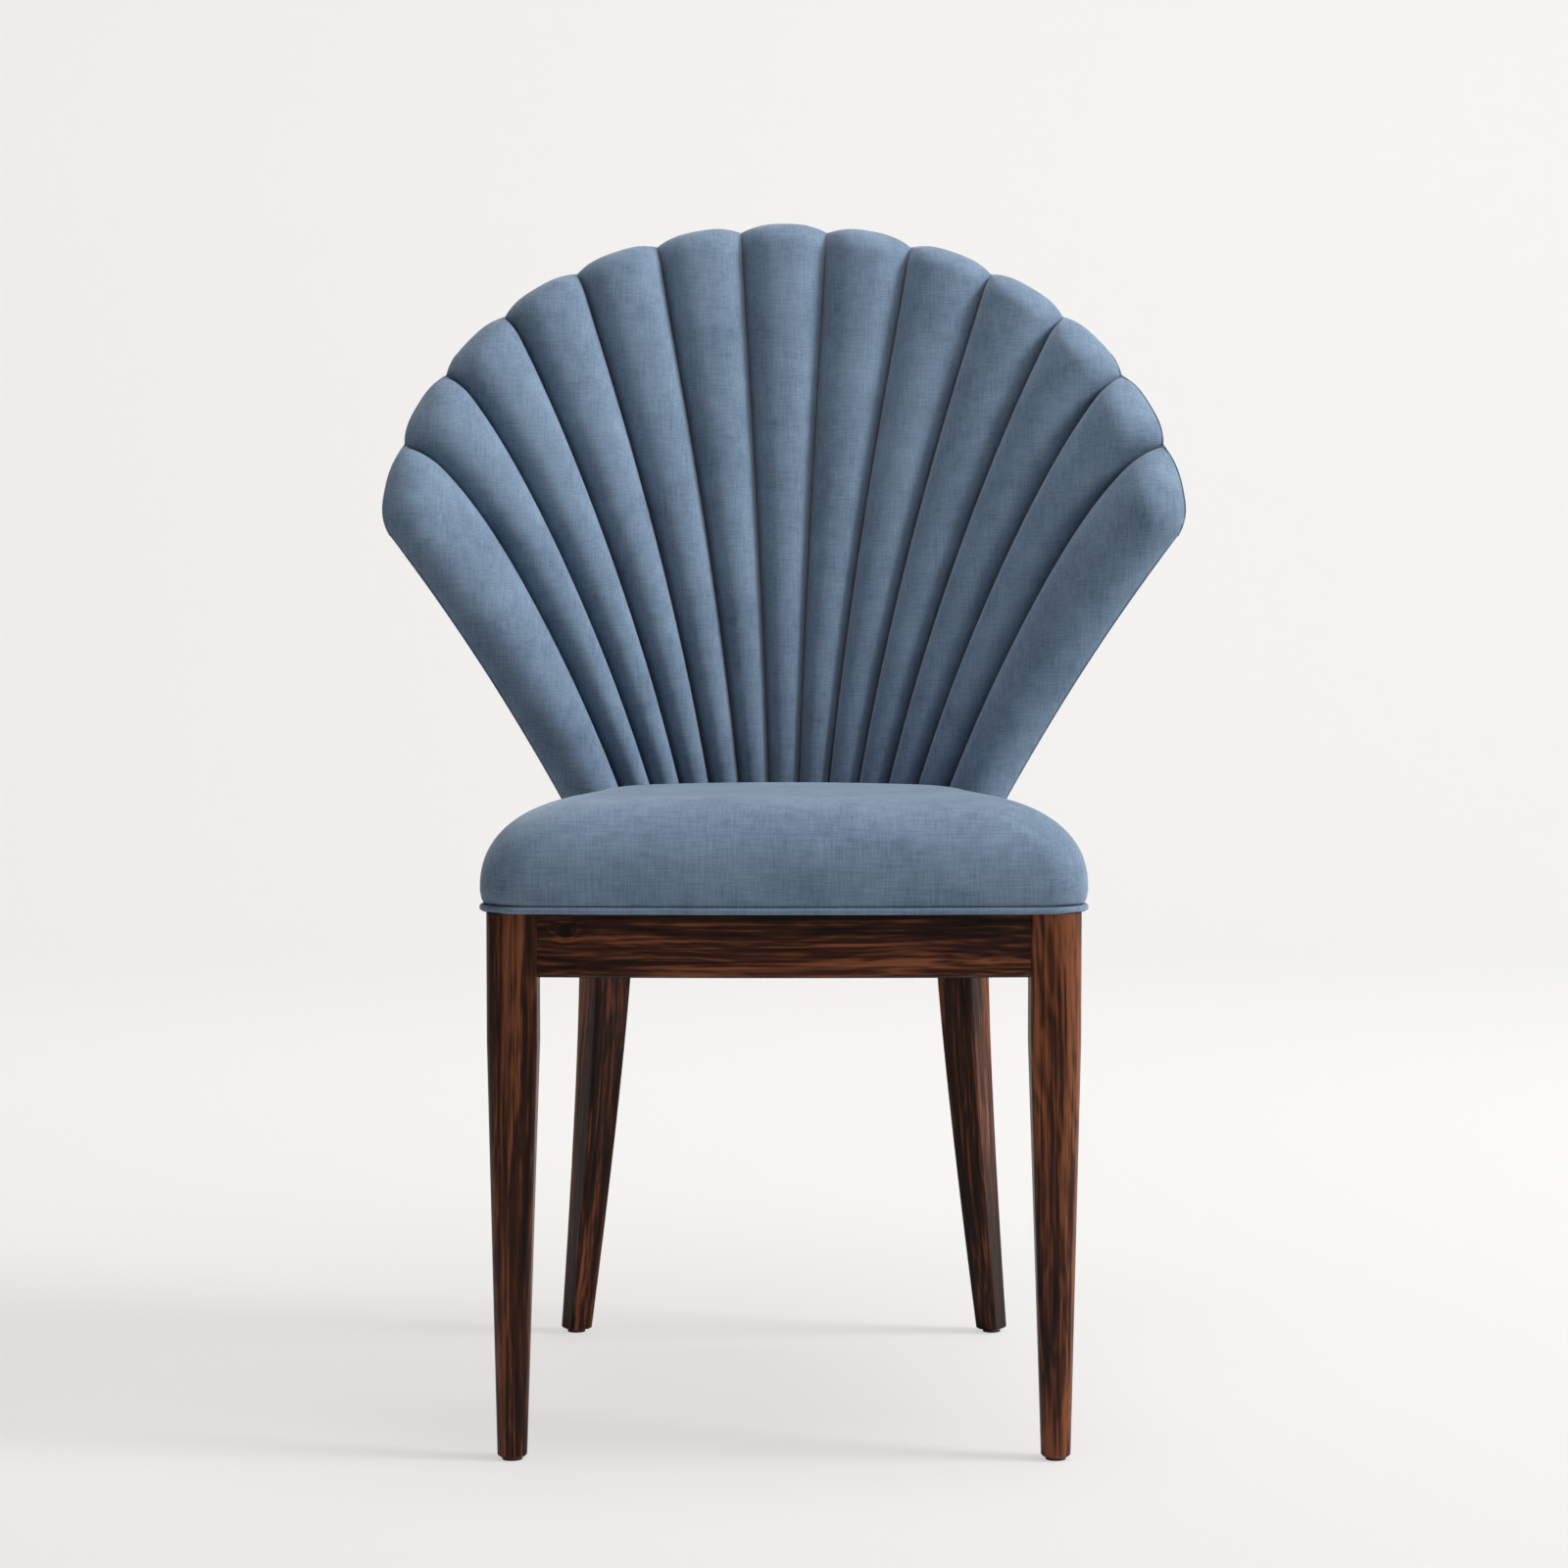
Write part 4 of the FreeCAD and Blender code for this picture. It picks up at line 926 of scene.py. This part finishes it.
def makeOutsideBack(material):
    shape = bmesh.new()
    outline = panelOutline(outsideBack["inset"])
    hemInside, hemOutside = [panelOutline(inset) for inset in outsideBack["hemInsets"]]
    ring, edges = startRing(shape, len(outline))
    first = edges
    rear = outsideBack["front"] + outsideBack["thickness"]
    middle = Vector(outsideBack["centre"])
    steps = [i / outsideBack["rings"] for i in range(1, outsideBack["rings"])]
    front, turned = outsideBack["front"], outsideBack["turnedOver"]
    levels = [(outline, share, front) for share in steps]
    levels += [(hemInside, 1.0, front), (hemInside, 1.0, turned), (hemOutside, 1.0, turned),
               (hemOutside, 1.0, rear - outsideBack["hemShort"]),
               (outline, 1.0, rear - outsideBack["rimShort"])]
    levels += [(outline, share, rear + outsideBack["crown"] * math.sin((1 - share) * math.pi / 2))
               for share in steps[::-1]]
    for index, (around, share, behind) in enumerate(levels):
        if index:
            ring, edges = nextRing(shape, ring, edges)
        spots = [middle.lerp(p, share) for p in around]
        placeRing(ring, [offShell(p.x, p.y, -behind) for p in spots])
    bmesh.ops.edgeloop_fill(shape, edges=first)
    bmesh.ops.edgeloop_fill(shape, edges=edges)
    bmesh.ops.recalc_face_normals(shape, faces=shape.faces)
    area = clothArea(shape)
    panel = meshObject("outside_back_cloth", shape, material, 50.0)
    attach(panel, "root")
    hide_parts("outside_back")
    print("outside back made", round(area, 4))


def makeDustCover(material):
    shape = bmesh.new()
    outline = seatOutline(dustCover["inset"], seat["frontCorner"], seat["rearCorner"],
                          dustCover["rearRadius"])
    ring, edges = startRing(shape, len(outline))
    first = edges
    steps = [i / dustCover["rings"] for i in range(1, dustCover["rings"] + 1)]
    middle = Vector(dustCover["centre"])
    levels = [(share, 0.0) for share in steps]
    levels += [(share, dustCover["thickness"]) for share in steps[::-1]]
    for index, (share, down) in enumerate(levels):
        if index:
            ring, edges = nextRing(shape, ring, edges)
        z = dustCover["top"] - dustCover["sag"] * (1 - share * share) ** 2 - down
        spots = [middle.lerp(p, share) for p in outline]
        placeRing(ring, [Vector((p.x, p.y + back["legFront"], z)) for p in spots])
    bmesh.ops.edgeloop_fill(shape, edges=first)
    bmesh.ops.edgeloop_fill(shape, edges=edges)
    bmesh.ops.recalc_face_normals(shape, faces=shape.faces)
    area = clothArea(shape)
    cover = meshObject("dust_cover_cloth", shape, material, 50.0)
    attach(cover, "root")
    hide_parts("dust_cover")
    print("dust cover made", round(area, 4))


# finishes of the solid parts

def dress(material, *names):
    for name in names:
        for holder in nodes[name].material_slots:
            holder.material = material


def makeAll():
    makeStudio()
    clothBlue = clothMaterial("blueCloth")
    makePads(clothBlue)
    makeCushion(clothBlue)
    makePipings(clothBlue)
    makeOutsideBack(clothBlue)
    for name, spec in timbers.items():
        dress(walnutMaterial(name, *spec["grain"], spec["lift"], spec["knots"]), *spec["parts"])
    makeDustCover(plainMaterial("bottoming"))
    dress(plainMaterial("beech"), "corner_block_front_left", "corner_block_front_right",
          "corner_block_rear_left", "corner_block_rear_right", "rail_dowels")
    dress(plainMaterial("plywood"), "back_shell")
    dress(clothBlue, "seat_board")          # the cover goes round the board
    dress(plainMaterial("steel"), "back_bolts", "back_tee_nuts", "back_washers", "corner_block_screws",
          "seat_bolts", "seat_tee_nuts")
    dress(plainMaterial("nylon"), "glide_front_left", "glide_front_right", "glide_rear_left",
          "glide_rear_right")


makeAll()
